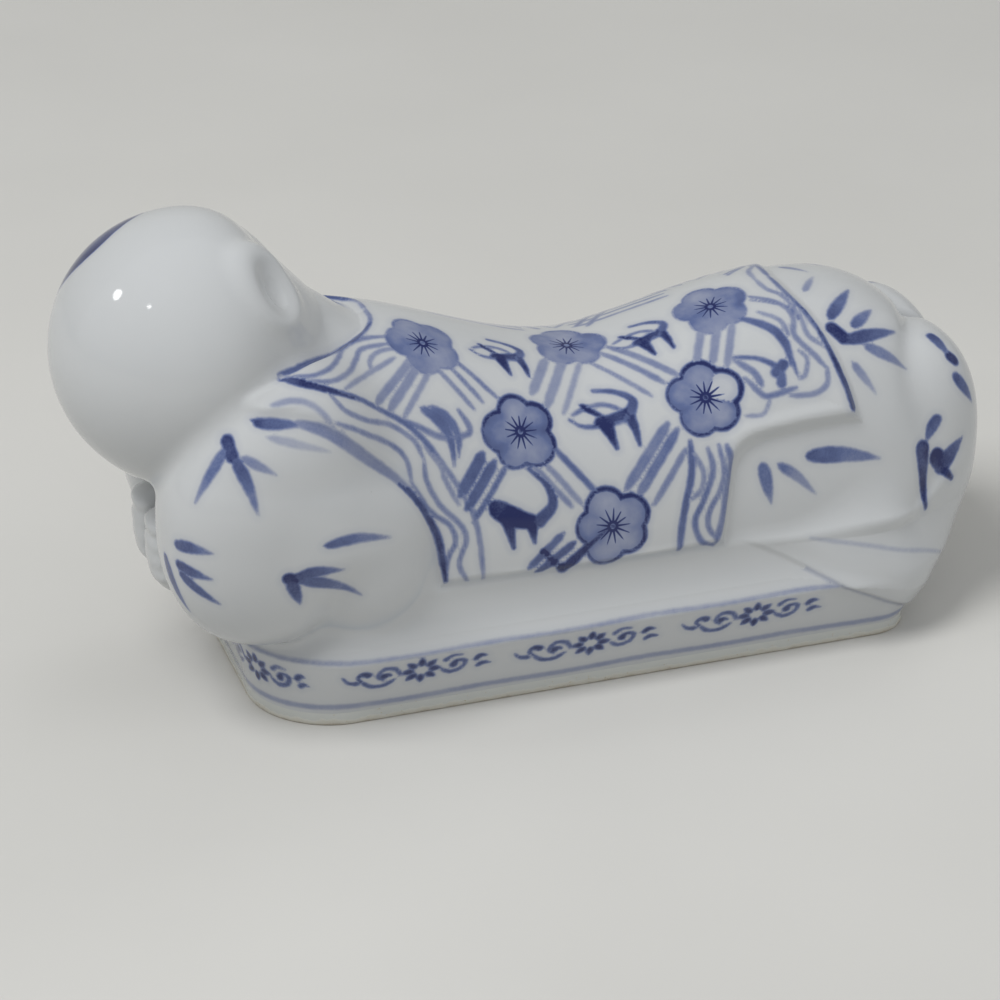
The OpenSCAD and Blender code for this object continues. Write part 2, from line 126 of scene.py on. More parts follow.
def groove(a: Array, b: Array, depth: float | Array, width: float) -> Array:
    """Crease worked into the line where two forms meet.

    Args:
        a: First distance.
        b: Second distance.
        depth: Depth of the crease.
        width: Half width of the crease.

    Returns:
        What to add to the joined distance.
    """
    return depth * np.exp(-(((a - b) / width) ** 2) - (np.minimum(a, b) / (2.0 * width)) ** 2)


def felt(form: Field, p: Array, box: Sequence[Sequence[float]]) -> Array:
    """Distance to a form, worked out only near it.

    Args:
        form: Distance of the form.
        p: Points.
        box: Lower and upper corner of the form.

    Returns:
        Signed distances; FAR_OFF stands for all points farther off.
    """
    low, high = np.array(box)
    close = np.all((p > low - FAR_OFF) & (p < high + FAR_OFF), axis=1)
    d = np.full(len(p), FAR_OFF)
    if close.any():
        d[close] = form(p[close])
    return d


def gradient(form: Field, p: Array, value: Array) -> Array:
    """Gradient of a field by forward differences.

    Args:
        form: The field.
        p: Points.
        value: Values of the field there.

    Returns:
        One gradient a row.
    """
    return np.stack([form(p + PROBE * axis) - value for axis in np.eye(3)], axis=1) / PROBE


def unit(v: Array) -> Array:
    """Vectors scaled to unit length.

    Args:
        v: Vectors in the last axis.

    Returns:
        The unit vectors.
    """
    return v / (np.linalg.norm(v, axis=-1, keepdims=True) + 1e-12)


def lattice(counts: Sequence[int]) -> Array:
    """Whole-numbered points of a block.

    Args:
        counts: Number of points along each axis.

    Returns:
        One point a row.
    """
    axes = np.meshgrid(*[np.arange(n) for n in counts], indexing="ij")
    return np.stack(axes, -1).reshape(-1, 3)


def turned(axis: str, degrees: float) -> Array:
    """Rotation matrix about one axis.

    Args:
        axis: "x", "y" or "z".
        degrees: Angle, right-handed.

    Returns:
        A 3 by 3 matrix.
    """
    c, s = math.cos(math.radians(degrees)), math.sin(math.radians(degrees))
    rows = {
        "x": [[1, 0, 0], [0, c, -s], [0, s, c]],
        "y": [[c, 0, s], [0, 1, 0], [-s, 0, c]],
        "z": [[c, -s, 0], [s, c, 0], [0, 0, 1]],
    }
    return np.array(rows[axis], float)


@dataclass(frozen=True)
class Knots:
    """Smooth curve through knots.

    Attributes:
        xs: Places of the knots, rising.
        ys: Values at the knots.
    """

    xs: tuple[float, ...]
    ys: tuple[float, ...]

    def __call__(self, x: Array) -> Array:
        """Value of the curve.

        Args:
            x: Places; outside the knots the end values hold.

        Returns:
            Values at x.
        """
        xs, ys = np.array(self.xs), np.array(self.ys)
        n = len(xs)
        lo, hi = np.maximum(np.arange(n) - 1, 0), np.minimum(np.arange(n) + 1, n - 1)
        slopes = (ys[hi] - ys[lo]) / (xs[hi] - xs[lo])
        i = np.clip(np.searchsorted(xs, x, side="right") - 1, 0, n - 2)
        h = xs[i + 1] - xs[i]
        t = np.clip((x - xs[i]) / h, 0.0, 1.0)
        return (
            (2 * t**3 - 3 * t**2 + 1) * ys[i]
            + (t**3 - 2 * t**2 + t) * h * slopes[i]
            + (3 * t**2 - 2 * t**3) * ys[i + 1]
            + (t**3 - t**2) * h * slopes[i + 1]
        )


# ---------------------------------------------------------------- forms


class Side(Enum):
    """Sides of the pillow along Y."""

    NEAR = -1
    FAR = 1

    def seen(self, p: Array) -> Array:
        """Points as the far side has them.

        Args:
            p: Points.

        Returns:
            The points, mirrored for the near side.
        """
        return p * [1.0, self.value, 1.0]


@dataclass(frozen=True)
class Lobe:
    """Rounded swelling.

    Attributes:
        at: Middle.
        half: Half sizes.
        power: Roundness, 2 being an ellipsoid.
    """

    at: Vec3
    half: Vec3
    power: float = 2.4

    @property
    def box(self) -> Array:
        """Lower and upper corner."""
        return np.array(self.at) + np.outer((-1.0, 1.0), self.half)

    def distance(self, p: Array) -> Array:
        """Distance to the lobe.

        Args:
            p: Points.

        Returns:
            Signed distances, true near the surface.
        """
        r, n = np.array(self.half), self.power
        q = np.abs(p - np.array(self.at)) / r + 1e-6
        reach = (q**n).sum(axis=1) ** (1 / n)
        grad = q ** (n - 1) / r * (reach ** (1 - n))[:, None]
        return np.maximum((reach - 1.0) / np.linalg.norm(grad, axis=1), -r.min())


@dataclass(frozen=True)
class PlinthForm:
    """Flared plinth with a rounded edge, a coved shoulder and the trouser hem that laps over it.

    Attributes:
        carry: Shift of the edge toward the feet.
        steepness: Keeps the distance true on the sloping wall.
        skirt: Outward offset of the hem by height.
        blur_reach: Reach of the rounding kernel, in its own widths.
    """

    length: float = 125.0
    width: float = 56.0
    head_corner: float = 16.0
    feet_corner: float = 8.0
    rim_z: float = 2.5
    edge_z: float = 15.2
    edge_r: float = 1.2
    edge_drop: float = 0.8
    ledge_z: float = 23.0
    ledge_soft: float = 1.0
    flare: float = 4.0
    carry: float = 2.0
    cove_power: float = 1.5
    tuck: float = 1.3
    steepness: float = 0.93
    hem_x: float = 30.0
    hem_slope: float = 30.0
    hem_t: float = 0.8
    hem_lip: Span = (-0.5, 0.9)
    skirt: Knots = Knots((2.5, 9.0, 15.0, 23.0), (0.0, 2.3, 2.6, -0.6))
    skirt_blend: float = 5.0
    samples: int = 200
    blur_taps: int = 17
    blur_reach: float = 2.2

    def profile(self, z: Array) -> tuple[Array, Array]:
        """Outward offset and shift toward the feet at a height.

        Args:
            z: Heights.

        Returns:
            Offsets and shifts.
        """
        zs = [self.rim_z, self.edge_z - self.edge_r, self.edge_z, self.ledge_z]
        lip = self.flare - self.edge_drop
        fine = np.linspace(zs[0], zs[-1], self.samples)
        up = np.clip((fine - self.edge_z) / (self.ledge_z - self.edge_z), 0.0, 1.0)
        wall = np.interp(fine, zs[:3], [0.0, self.flare, lip])
        cove = lip - (lip + self.tuck) * (1.0 - (1.0 - up) ** self.cove_power)
        shifts = np.interp(fine, zs, [0.0, self.carry, self.carry, 0.0])
        curves = np.where(up > 0, cove, wall), shifts
        return tuple(np.interp(z, fine, self._soft(curve)) for curve in curves)

    def _soft(self, v: Array) -> Array:
        kernel = np.exp(-(np.linspace(-self.blur_reach, self.blur_reach, self.blur_taps) ** 2))
        pad = self.blur_taps // 2
        before = v[0] - (v[pad:0:-1] - v[0])
        after = v[-1] - (v[-2 : -pad - 2 : -1] - v[-1])
        return np.convolve(np.concatenate([before, v, after]), kernel / kernel.sum(), "valid")

    def plan(self, x: Array, y: Array) -> Array:
        """Distance to the rounded plan of the foot.

        Args:
            x: Places along the pillow.
            y: Places across it.

        Returns:
            Signed distances.
        """
        r = np.where(x < 0, self.head_corner, self.feet_corner)
        qx = np.abs(x) - self.length / 2 + r
        qy = np.abs(y) - self.width / 2 + r
        outside = np.hypot(np.maximum(qx, 0.0), np.maximum(qy, 0.0))
        return outside + np.minimum(np.maximum(qx, qy), 0.0) - r

    def hem_side(self, p: Array) -> Array:
        """Place relative to the sloping lower edge of the hem.

        Args:
            p: Points.

        Returns:
            Millimetres past the edge, positive on the hem.
        """
        a = math.radians(self.hem_slope)
        return (p[:, 0] - self.hem_x) * math.sin(a) + (p[:, 2] - self.ledge_z) * math.cos(a)

    def distance(self, p: Array) -> Array:
        """Distance to the plinth with its hem.

        Args:
            p: Points.

        Returns:
            Signed distances.
        """
        offset, shift = self.profile(p[:, 2])
        past = self.hem_side(p)
        offset = blend(offset, self.skirt(p[:, 2]), ease(past, 0.0, self.skirt_blend))
        offset = offset + self.hem_t * ease(past, *self.hem_lip)
        side = (self.plan(p[:, 0] - shift, p[:, 1]) - offset) * self.steepness
        return smooth_max(side, p[:, 2] - self.ledge_z, self.ledge_soft)


@dataclass(frozen=True)
class BodyForm:
    """Back and seat: arched sections along a saddle-shaped spine, with a seat that swells out.

    Attributes:
        lean: Reach of the seat past its foot.
        section_p: Roundness of the sections.
        end_p: Roundness of the two ends.
        spine: Height above the ledge by station.
        sink: Depth to which the body goes into the plinth.
    """

    width: float = 56.0
    ledge_z: float = 23.0
    shoulder_x: float = -60.0
    seat_x: float = 62.0
    lean_x: float = 21.5
    lean: float = 14.0
    lean_rise: float = 14.0
    lean_rounds: int = 4
    shoulder_round: float = 18.0
    seat_round: float = 19.0
    section_p: float = 2.2
    end_p: float = 2.7
    spine: Knots = Knots((-60.0, -40.0, 3.0, 40.0, 62.0), (41.0, 44.0, 31.5, 39.5, 33.0))
    sink: float = 4.0
    shoulder: Lobe = Lobe((-56.0, 16.0, 54.5), (14.0, 12.5, 12.6), 2.2)
    shoulder_reach: float = 7.0

    def _push(self, z: Array) -> Array:
        rise = np.clip(z - self.ledge_z, 0.0, self.lean_rise)
        return self.lean * np.sin(np.pi / 2 * rise / self.lean_rise)

    def station(self, p: Array) -> Array:
        """Station along the spine of each point, with the lean of the seat taken out.

        Args:
            p: Points.

        Returns:
            Stations.
        """
        low, high = self.lean_x, self.seat_x
        station = p[:, 0].copy()
        leaning = np.flatnonzero(station > low)
        goal, push = station[leaning], self._push(p[leaning, 2])
        x = goal - push * ease(goal, low, high + self.lean)
        for _ in range(self.lean_rounds):
            t = np.clip((x - low) / (high - low), 0.0, 1.0)
            slope = 6.0 * t * (1.0 - t) / (high - low)
            x = x - (x + push * t * t * (3.0 - 2.0 * t) - goal) / (1.0 + push * slope)
        station[leaning] = x
        return station

    def point(self, x: Array, a: Array, share: Array | None = None) -> Array:
        """Point of the body at a station and an angle round its section.

        Args:
            x: Stations.
            a: Angles from the near side over the back.
            share: Share of the full section, or None for the body's own.

        Returns:
            Points.
        """
        x, a = np.broadcast_arrays(np.asarray(x, float), np.radians(np.asarray(a, float)))
        share = self.end(x) if share is None else share
        across = np.sign(np.cos(a)) * np.abs(np.cos(a)) ** (2 / self.section_p)
        z = self.ledge_z + self.spine(x) * share * np.abs(np.sin(a)) ** (2 / self.section_p)
        lean = self._push(z) * ease(x, self.lean_x, self.seat_x)
        return np.stack([x + lean, -self.width / 2 * share * across, z], axis=-1)

    def end(self, x: Array) -> Array:
        """Share of the full section that is left toward the rounded ends.

        Args:
            x: Stations.

        Returns:
            Shares from 0 to 1.
        """
        return (1.0 - np.clip(self._past(x), 0.0, 1.0) ** self.end_p) ** (1 / self.end_p)

    def _past(self, x: Array) -> Array:
        front, rear = self.shoulder_x + self.shoulder_round, self.seat_x - self.seat_round
        past = np.maximum((front - x) / self.shoulder_round, (x - rear) / self.seat_round)
        return past.clip(0.0)

    def chart(self, p: Array) -> tuple[Array, Array]:
        """Station and angle round the body of points near its surface.

        Args:
            p: Points.

        Returns:
            Stations and angles.
        """
        x, half = self.station(p), self.section_p / 2
        up = (np.clip(p[:, 2] - self.ledge_z, 0.0, None) / self.spine(x)) ** half
        across = (np.abs(p[:, 1]) / (self.width / 2)) ** half
        a = np.degrees(np.arctan2(up, across))
        return x, np.where(p[:, 1] > 0, 180.0 - a, a)

    def distance(self, p: Array, x: Array) -> Array:
        """Distance to the body with its shoulders.

        Args:
            p: Points.
            x: Stations of the points.

        Returns:
            Signed distances, true near the surface.
        """
        h, w = self.spine(x), self.width / 2
        n, q = self.section_p, self.end_p
        ys, zs = np.abs(p[:, 1]) / w, np.clip(p[:, 2] - self.ledge_z, 0.0, None) / h
        arch = (ys**n + zs**n + 1e-9) ** (1 / n)
        u = self._past(x)
        f = (arch**q + u**q + 1e-9) ** (1 / q)
        keep = arch ** (q - 1) * f ** (1 - q) * arch ** (1 - n)
        gy, gz = keep * ys ** (n - 1) / w, keep * zs ** (n - 1) / h
        rounding = np.where(x < 0, self.shoulder_round, self.seat_round)
        gx = u ** (q - 1) * f ** (1 - q) / rounding
        d = (f - 1.0) / np.sqrt(gx**2 + gy**2 + gz**2 + 1e-6)
        d = np.maximum(d, self.ledge_z - self.sink - p[:, 2])
        folded = np.stack([p[:, 0], np.abs(p[:, 1]), p[:, 2]], axis=1)
        shoulder = felt(self.shoulder.distance, folded, self.shoulder.box)
        return smooth_min(d, shoulder, self.shoulder_reach)


@dataclass(frozen=True)
class VestEdge:
    """Edge of the vest between two stations.

    Attributes:
        start: Station at share 0.
        end: Station at share 1.
        share: Share by angle from the ledge up.
        below: Change of the share by degree under the first knot.
        side: 1 where the vest lies toward the feet, -1 where it lies toward the head.
    """

    start: float
    end: float
    share: Knots
    below: float = 0.0
    side: float = 1.0

    def station(self, m: Array) -> Array:
        """Station of the edge.

        Args:
            m: Angles from the ledge up, at most 90.

        Returns:
            Stations.
        """
        under = np.minimum(m - self.share.xs[0], 0.0)
        return blend(self.start, self.end, self.share(m) + under * self.below)

    def margin(self, x: Array, m: Array, per_degree: float) -> Array:
        """Distance on the chart to the edge.

        Args:
            x: Stations.
            m: Angles from the ledge up, at most 90.
            per_degree: Millimetres round the body in a degree.

        Returns:
            Millimetres, negative on the vest.
        """
        ahead, behind = self.station(np.minimum(m + 1.0, 90.0)), self.station(m - 1.0)
        slope = (ahead - behind) / (2.0 * per_degree)
        return self.side * (self.station(m) - x) / np.hypot(1.0, slope)


@dataclass(frozen=True)
class VestForm:
    """Outline and thickness of the vest, on the chart of the body.

    Attributes:
        lip: Height of the roll round the corner of the flap.
        lip_span: Where the roll rises, past the slit.
        hem_thin: How much the rear flap thins, over thin_m round the body and thin_x along it.
    """

    thick: float = 1.4
    soft: float = 0.9
    armhole: VestEdge = VestEdge(-30.0, -66.0, Knots(
        (0.0, 14.5, 21.0, 27.5, 33.5, 39.0, 43.5, 46.0, 52.0),
        (0.0, 0.04, 0.1, 0.21, 0.39, 0.57, 0.74, 0.9, 1.0),
    ))
    collar: VestEdge = VestEdge(-61.0, -36.0, Knots(
        (51.0, 54.0, 63.0, 78.0, 90.0), (0.0, 0.25, 0.58, 0.93, 1.0)
    ), below=0.083)
    rear: VestEdge = VestEdge(37.2, 42.4, Knots(
        (30.0, 44.0, 58.0, 70.0, 80.0, 90.0), (1.0, 0.83, 0.62, 0.4, 0.22, 0.15)
    ), side=-1.0)
    tip_soft: float = 2.0
    slit_x: float = 22.3
    slit_lean: float = 0.1
    slit_soft: float = 5.0
    flap_angle: float = 30.0
    start_angle: float = 3.0
    per_degree: float = 0.62
    lip: float = 0.8
    lip_width: float = 1.6
    lip_span: Span = (-4.0, 6.0)
    lip_angle: float = 9.0
    hem_thin: float = 0.6
    thin_m: Span = (36.0, 58.0)
    thin_x: Span = (10.0, 30.0)

    def margin(self, x: Array, a: Array) -> Array:
        """Distance on the chart to the outline of the vest.

        Args:
            x: Stations.
            a: Angles round the body.

        Returns:
            Millimetres, negative on the vest.
        """
        m = np.minimum(a, 180.0 - a)
        edges = (self.armhole, self.collar, self.rear)
        arm, neck, rear = (edge.margin(x, m, self.per_degree) for edge in edges)
        flap = np.maximum((self.flap_angle - m) * self.per_degree, rear)
        back = smooth_min(x - self.slit_x - self.slit_lean * m, flap, self.slit_soft)
        low = (self.start_angle - m) * self.per_degree
        return np.maximum(np.maximum(smooth_max(arm, neck, self.tip_soft), back), low)

    def relief(self, x: Array, a: Array, edge: Array) -> Array:
        """Thickness of the vest on the body.

        Args:
            x: Stations.
            a: Angles round the body.
            edge: Margins there.

        Returns:
            Millimetres.
        """
        m = np.minimum(a, 180.0 - a)
        roll = self.lip * np.exp(-(((edge + self.lip_width) / self.lip_width) ** 2))
        roll = roll * ease(x - self.slit_x, *self.lip_span)
        roll = roll * np.exp(-(((m - self.flap_angle) / self.lip_angle) ** 2))
        thin = self.hem_thin * ease(m, *self.thin_m) * ease(x, *self.thin_x)
        return (self.thick - thin + roll) * ease(-edge, -self.soft, self.soft)


@dataclass(frozen=True)
class Feature:
    """Soft swelling or hollow of the head.

    Attributes:
        t: Angle from the crown.
        f: Angle round the head, 90 being the face.
        tall: Width of the swelling along t.
        wide: Width along f.
        rise: Height.
    """

    t: float
    f: float
    tall: float
    wide: float
    rise: float

    def at(self, t: Array, f: Array) -> Array:
        """Height of the feature at angles t, f.

        Args:
            t: Angles from the crown.
            f: Angles round the head.

        Returns:
            Heights.
        """
        off = (f - self.f + 180.0) % 360.0 - 180.0
        across = off * math.sin(math.radians(self.t)) / self.wide
        return self.rise * np.exp(-(((t - self.t) / self.tall) ** 2) - across**2)


def both_sides(t: float, spread: float, *shape: float) -> tuple[Feature, Feature]:
    """Pair of features left and right of the middle of the face.

    Args:
        t: Angle from the crown.
        spread: Angle from the middle of the face.
        shape: Widths along t and f, and height.

    Returns:
        The two features.
    """
    return Feature(t, 90.0 - spread, *shape), Feature(t, 90.0 + spread, *shape)


@dataclass(frozen=True)
class HeadForm:
    """Head and neck: a skull curve from the crown down, with the soft features of a child's face.

    Attributes:
        skull_angles: Angles from the crown at which the skull is given.
        skull_shares: Rise of the skull there, as shares of the radius.
    """

    at: Vec3 = (-68.0, 0.0, 65.0)
    radius: float = 23.95
    crown_tilt: float = 14.0
    face_up: float = 29.0
    skull_angles: tuple[float, ...] = (0.0, 60.0, 93.0, 120.0, 147.0, 158.0, 165.0)
    skull_shares: tuple[float, ...] = (0.0, 0.017, 0.0375, -0.008, 0.02, 0.1, 0.1)
    nape: Lobe = Lobe((-49.5, 0.0, 55.5), (15.5, 12.5, 12.8))
    nape_reach: float = 6.0
    box: tuple[Vec3, Vec3] = ((-94.0, -27.0, 38.0), (-34.0, 27.0, 91.0))
    features: tuple[Feature, ...] = (
        Feature(98.0, 90.0, 34.0, 34.0, -1.4),
        Feature(108.0, 90.0, 6.5, 5.0, 1.7),
        Feature(100.0, 90.0, 10.0, 4.0, 0.7),
        Feature(137.0, 90.0, 11.0, 13.0, 1.6),
        *both_sides(116.0, 31.0, 14.0, 13.0, 1.1),
        *both_sides(122.0, 58.0, 24.0, 26.0, -2.3),
        *both_sides(97.0, 24.0, 7.0, 11.0, -0.55),
        *both_sides(99.0, 24.0, 4.2, 6.5, 0.6),
        *both_sides(111.0, 7.5, 3.2, 3.2, 0.55),
        Feature(121.4, 90.0, 2.0, 6.5, 0.5),
        Feature(126.0, 90.0, 2.2, 5.0, 0.55),
        Feature(123.7, 90.0, 1.1, 6.0, -0.35),
    )

    @property
    def basis(self) -> Array:
        """Columns: axis of the right ear, direction of the face, crown."""
        return turned("y", self.crown_tilt - 90.0) @ turned("z", -self.face_up)

    @property
    def skull(self) -> Knots:
        """Radius of the plain skull by angle from the crown."""
        return Knots(self.skull_angles, tuple(self.radius * (1.0 + s) for s in self.skull_shares))

    def reach(self, t: Array, f: Array) -> Array:
        """Radius of the head at angles t, f.

        Args:
            t: Angles from the crown.
            f: Angles round the head.

        Returns:
            Radii.
        """
        return self.skull(t) + sum(feature.at(t, f) for feature in self.features)

    def point(self, t: Array, f: Array) -> Array:
        """Point on the head.

        Args:
            t: Angles from the crown.
            f: Angles round the head.

        Returns:
            Points.
        """
        t, f = np.broadcast_arrays(np.asarray(t, float), np.asarray(f, float))
        a, b = np.radians(t), np.radians(f)
        toward = np.stack([np.sin(a) * np.cos(b), np.sin(a) * np.sin(b), np.cos(a)], axis=-1)
        return np.array(self.at) + toward @ self.basis.T * self.reach(t, f)[..., None]

    def distance(self, p: Array) -> Array:
        """Distance to the head with its nape.

        Args:
            p: Points.

        Returns:
            Signed distances.
        """
        return felt(self._distance, p, self.box)

    def _distance(self, p: Array) -> Array:
        q = (p - np.array(self.at)) @ self.basis
        r = np.linalg.norm(q, axis=1) + 1e-6
        t = np.degrees(np.arccos(np.clip(q[:, 2] / r, -1.0, 1.0)))
        f = np.degrees(np.arctan2(q[:, 1], q[:, 0]))
        skull = self.skull
        slope = np.degrees(skull(t + 0.5) - skull(t - 0.5)) / skull(t)
        ball = (r - self.reach(t, f)) / np.sqrt(1.0 + slope**2)
        return smooth_min(ball, self.nape.distance(p), self.nape_reach)


@dataclass(frozen=True)
class EarForm:
    """Ear in low relief: a rolled rim round a shallow hollow, with a soft lobe.

    Attributes:
        head: The head that it stands on.
        t: Angle of its middle from the crown.
        f: Angle of its middle round the head.
        turn: Turn about the outward direction.
        rim: Form of the ear, by place outward, across and along it.
        bowl: Form of its hollow.
    """

    head: HeadForm
    t: float = 109.5
    f: float = -8.0
    turn: float = -50.0
    rim: Lobe = Lobe((-1.0, 0.0, 0.0), (2.5, 5.75, 7.75), 2.2)
    bowl: Lobe = Lobe((1.9, 0.9, -1.9), (2.9, 3.45, 4.96), 2.0)
    soft: float = 3.6
    brim_soft: float = 2.0
    bowl_soft: float = 4.5

    def distance(self, p: Array) -> Array:
        """Distance to the ear.

        Args:
            p: Points.

        Returns:
            Signed distances.
        """
        rim, bowl = self._forms(p)
        return smooth_max(rim, -bowl, self.brim_soft)

    def join(self, head: Array, p: Array) -> Array:
        """Head with the ear modelled on it and its hollow pressed in.

        Args:
            head: Distance to the head.
            p: Points.

        Returns:
            Signed distances.
        """
        rim, bowl = self._forms(p)
        return smooth_max(smooth_min(head, rim, self.soft), -bowl, self.bowl_soft)

    def _forms(self, p: Array) -> list[Array]:
        root = self.head.point([self.t], [self.f])[0]
        local = self.head.basis @ turned("z", self.f)
        local = local @ turned("y", self.t - 90.0) @ turned("x", self.turn)
        half = max(self.rim.half)
        return [
            felt(lambda q: lobe.distance((q - root) @ local), p, (root - half, root + half))
            for lobe in (self.rim, self.bowl)
        ]


@dataclass(frozen=True)
class LimbForms:
    """Sleeves, hands and feet, as the far side has them.

    Attributes:
        far_back: Shift of the far sleeve toward the feet.
        crease: Reach of the fillet between a sleeve's swellings, below and above crease_z.
        finger_step: Way from one finger to the next.
    """

    forearm: Lobe = Lobe((-58.5, 18.5, 38.5), (20.0, 15.8, 22.5))
    upper_arm: Lobe = Lobe((-46.0, 17.0, 33.0), (17.5, 16.0, 17.5))
    far_back: float = 2.0
    crease: Span = (2.0, 6.5)
    crease_z: Span = (25.0, 38.0)
    crease_depth: float = 1.6
    crease_width: float = 1.6
    palm: Lobe = Lobe((-71.0, 5.0, 29.0), (7.0, 6.0, 9.0))
    palm_soft: float = 1.2
    finger: Lobe = Lobe((-75.6, 5.2, 34.0), (2.4, 4.4, 1.7), 2.2)
    finger_step: Vec3 = (0.25, 0.0, -3.1)
    finger_soft: float = 0.9
    fingers: int = 4
    boot: Lobe = Lobe((65.5, 8.0, 32.5), (14.45, 16.0, 21.5))
    boot_soft: float = 2.4
    sleeve_box: tuple[Vec3, Vec3] = ((-81.0, 0.0, 14.0), (-26.0, 36.0, 61.0))
    hand_box: tuple[Vec3, Vec3] = ((-80.0, -1.0, 18.0), (-62.0, 13.0, 40.0))
    foot_box: tuple[Vec3, Vec3] = ((49.0, -3.0, 9.0), (81.0, 26.0, 56.0))

    def sleeve(self, p: Array, side: Side) -> Array:
        """Distance to a sleeve: two swellings that run together above and part below.

        Args:
            p: Points.
            side: Which sleeve.

        Returns:
            Signed distances.
        """
        back = self.far_back if side is Side.FAR else 0.0
        return felt(self._sleeve, side.seen(p) - [back, 0.0, 0.0], self.sleeve_box)

    def _sleeve(self, q: Array) -> Array:
        up = ease(q[:, 2], *self.crease_z)
        fore, upper = self.forearm.distance(q), self.upper_arm.distance(q)
        cut = groove(fore, upper, self.crease_depth * (1.0 - up), self.crease_width)
        return smooth_min(fore, upper, blend(*self.crease, up)) + cut

    def hand(self, p: Array, side: Side) -> Array:
        """Distance to a hand: the back of the hand with folded fingers.

        Args:
            p: Points.
            side: Which hand.

        Returns:
            Signed distances.
        """
        return felt(self._hand, side.seen(p), self.hand_box)

    def _hand(self, q: Array) -> Array:
        d = self.palm.distance(q)
        for k in range(self.fingers):
            finger = self.finger.distance(q - k * np.array(self.finger_step))
            d = smooth_min(d, finger, self.finger_soft)
        return smooth_max(d, -q[:, 1], self.palm_soft)

    def foot(self, p: Array, side: Side) -> Array:
        """Distance to a foot, cut at the middle of the pillow.

        Args:
            p: Points.
            side: Which foot.

        Returns:
            Signed distances.
        """
        return felt(self._foot, side.seen(p), self.foot_box)

    def _foot(self, q: Array) -> Array:
        return smooth_max(self.boot.distance(q), -q[:, 1], self.boot_soft)


class Piece(Enum):
    """Glazed pieces of the figure, in the order of the columns of Figure.parts."""

    PLINTH = "plinth"
    BODY = "body_shell"
    VEST = "vest"
    HEM = "trouser_hem"
    LEFT_SLEEVE = "left_sleeve"
    RIGHT_SLEEVE = "right_sleeve"
    LEFT_HAND = "left_hand"
    RIGHT_HAND = "right_hand"
    LEFT_FOOT = "left_foot"
    RIGHT_FOOT = "right_foot"
    HEAD = "head"
    EAR = "right_ear"


PIECES = list(Piece)


@dataclass(frozen=True)
class Fillets:
    """Reach of the soft joints between pieces, and where the reach changes."""

    ledge: float = 4.5
    heel: float = 13.0
    heel_x: Span = (34.0, 58.0)
    feet: float = 1.6
    ankle_depth: float = 0.9
    ankle_width: float = 1.7
    ankle_z: Span = (30.0, 42.0)
    sleeves: float = 2.6
    shoulders: float = 9.0
    shoulder_z: Span = (40.0, 58.0)
    hands: float = 1.4
    neck: float = 3.0


@dataclass(frozen=True)
class Figure:
    """The whole glazed figure as one field.

    Attributes:
        seam: Distance from a seam past which it has no say.
        leap: Longest move of a point toward the skin in one round.
        section: Height of a usual section of the body, for shares of it.
    """

    plinth: PlinthForm = PlinthForm()
    body: BodyForm = BodyForm()
    vest: VestForm = VestForm()
    head: HeadForm = HeadForm()
    limbs: LimbForms = LimbForms()
    fillets: Fillets = Fillets()
    seam: float = 3.0
    leap: float = 3.0
    onto_rounds: int = 4
    section: float = 40.0
    least_share: float = 0.9
    clothes_share: float = 0.04
    above_rounds: int = 14

    @property
    def ear(self) -> EarForm:
        """The ear that stands on the head."""
        return EarForm(self.head)

    def torso(self, p: Array) -> tuple[Array, Array]:
        """Distance to the clothed body, and the margin of the vest.

        Args:
            p: Points.

        Returns:
            Signed distances and chart distances to the vest's outline.
        """
        x, a = self.body.chart(p)
        edge = self.vest.margin(x, a)
        return self.body.distance(p, x) - self.vest.relief(x, a, edge), edge

    def distance(self, p: Array) -> Array:
        """Distance to the glazed skin.

        Args:
            p: Points.

        Returns:
            Signed distances.
        """
        k, limbs = self.fillets, self.limbs
        x, z = p[:, 0], p[:, 2]
        torso, _ = self.torso(p)
        feet = np.minimum(*[limbs.foot(p, side) for side in Side])
        cut = groove(torso, feet, k.ankle_depth * ease(z, *k.ankle_z), k.ankle_width)
        d = smooth_min(torso, feet, k.feet) + cut
        d = smooth_min(d, self.plinth.distance(p), blend(k.ledge, k.heel, ease(x, *k.heel_x)))
        reach = blend(k.sleeves, k.shoulders, ease(z, *k.shoulder_z))
        for side in Side:
            d = smooth_min(d, limbs.sleeve(p, side), reach)
        d = smooth_min(d, self.ear.join(self.head.distance(p), p), k.neck)
        for side in Side:
            d = smooth_min(d, limbs.hand(p, side), k.hands)
        return d

    def parts(self, p: Array) -> Array:
        """Distance to each piece, in the order of Piece.

        Args:
            p: Points.

        Returns:
            One column a piece.
        """
        limbs, plinth = self.limbs, self.plinth.distance(p)
        torso, vest = self.torso(p)
        seams = (self.plinth.hem_side(p), vest)
        hem, vest = (np.clip(side, -self.seam, self.seam) / 2 for side in seams)
        columns = [plinth + hem, torso - vest, torso + vest, plinth - hem]
        for form in (limbs.sleeve, limbs.hand, limbs.foot):
            columns += [form(p, side) for side in Side]
        return np.stack([*columns, self.head.distance(p), self.ear.distance(p)], axis=1)

    def normal(self, p: Array) -> tuple[Array, Array]:
        """Distance and outward normal.

        Args:
            p: Points.

        Returns:
            Signed distances and unit normals.
        """
        d = self.distance(p)
        return d, unit(gradient(self.distance, p, d))

    def onto(self, p: Array) -> Array:
        """Moves points onto the skin.

        Args:
            p: Points near the skin.

        Returns:
            Points on the skin.
        """
        for _ in range(self.onto_rounds):
            d, n = self.normal(p)
            p = p - n * np.clip(d, -self.leap, self.leap)[:, None]
        return p

    def above(self, x: Array, a: Array) -> Array:
        """Points of the skin over places on the chart of the body.

        Args:
            x: Stations.
            a: Angles round the body.

        Returns:
            Points on the skin.
        """
        share = np.maximum(self.body.end(x), self.least_share) + self.clothes_share
        for _ in range(self.above_rounds):
            share = share - self.distance(self.body.point(x, a, share)) / self.section
        return self.body.point(x, a, share)


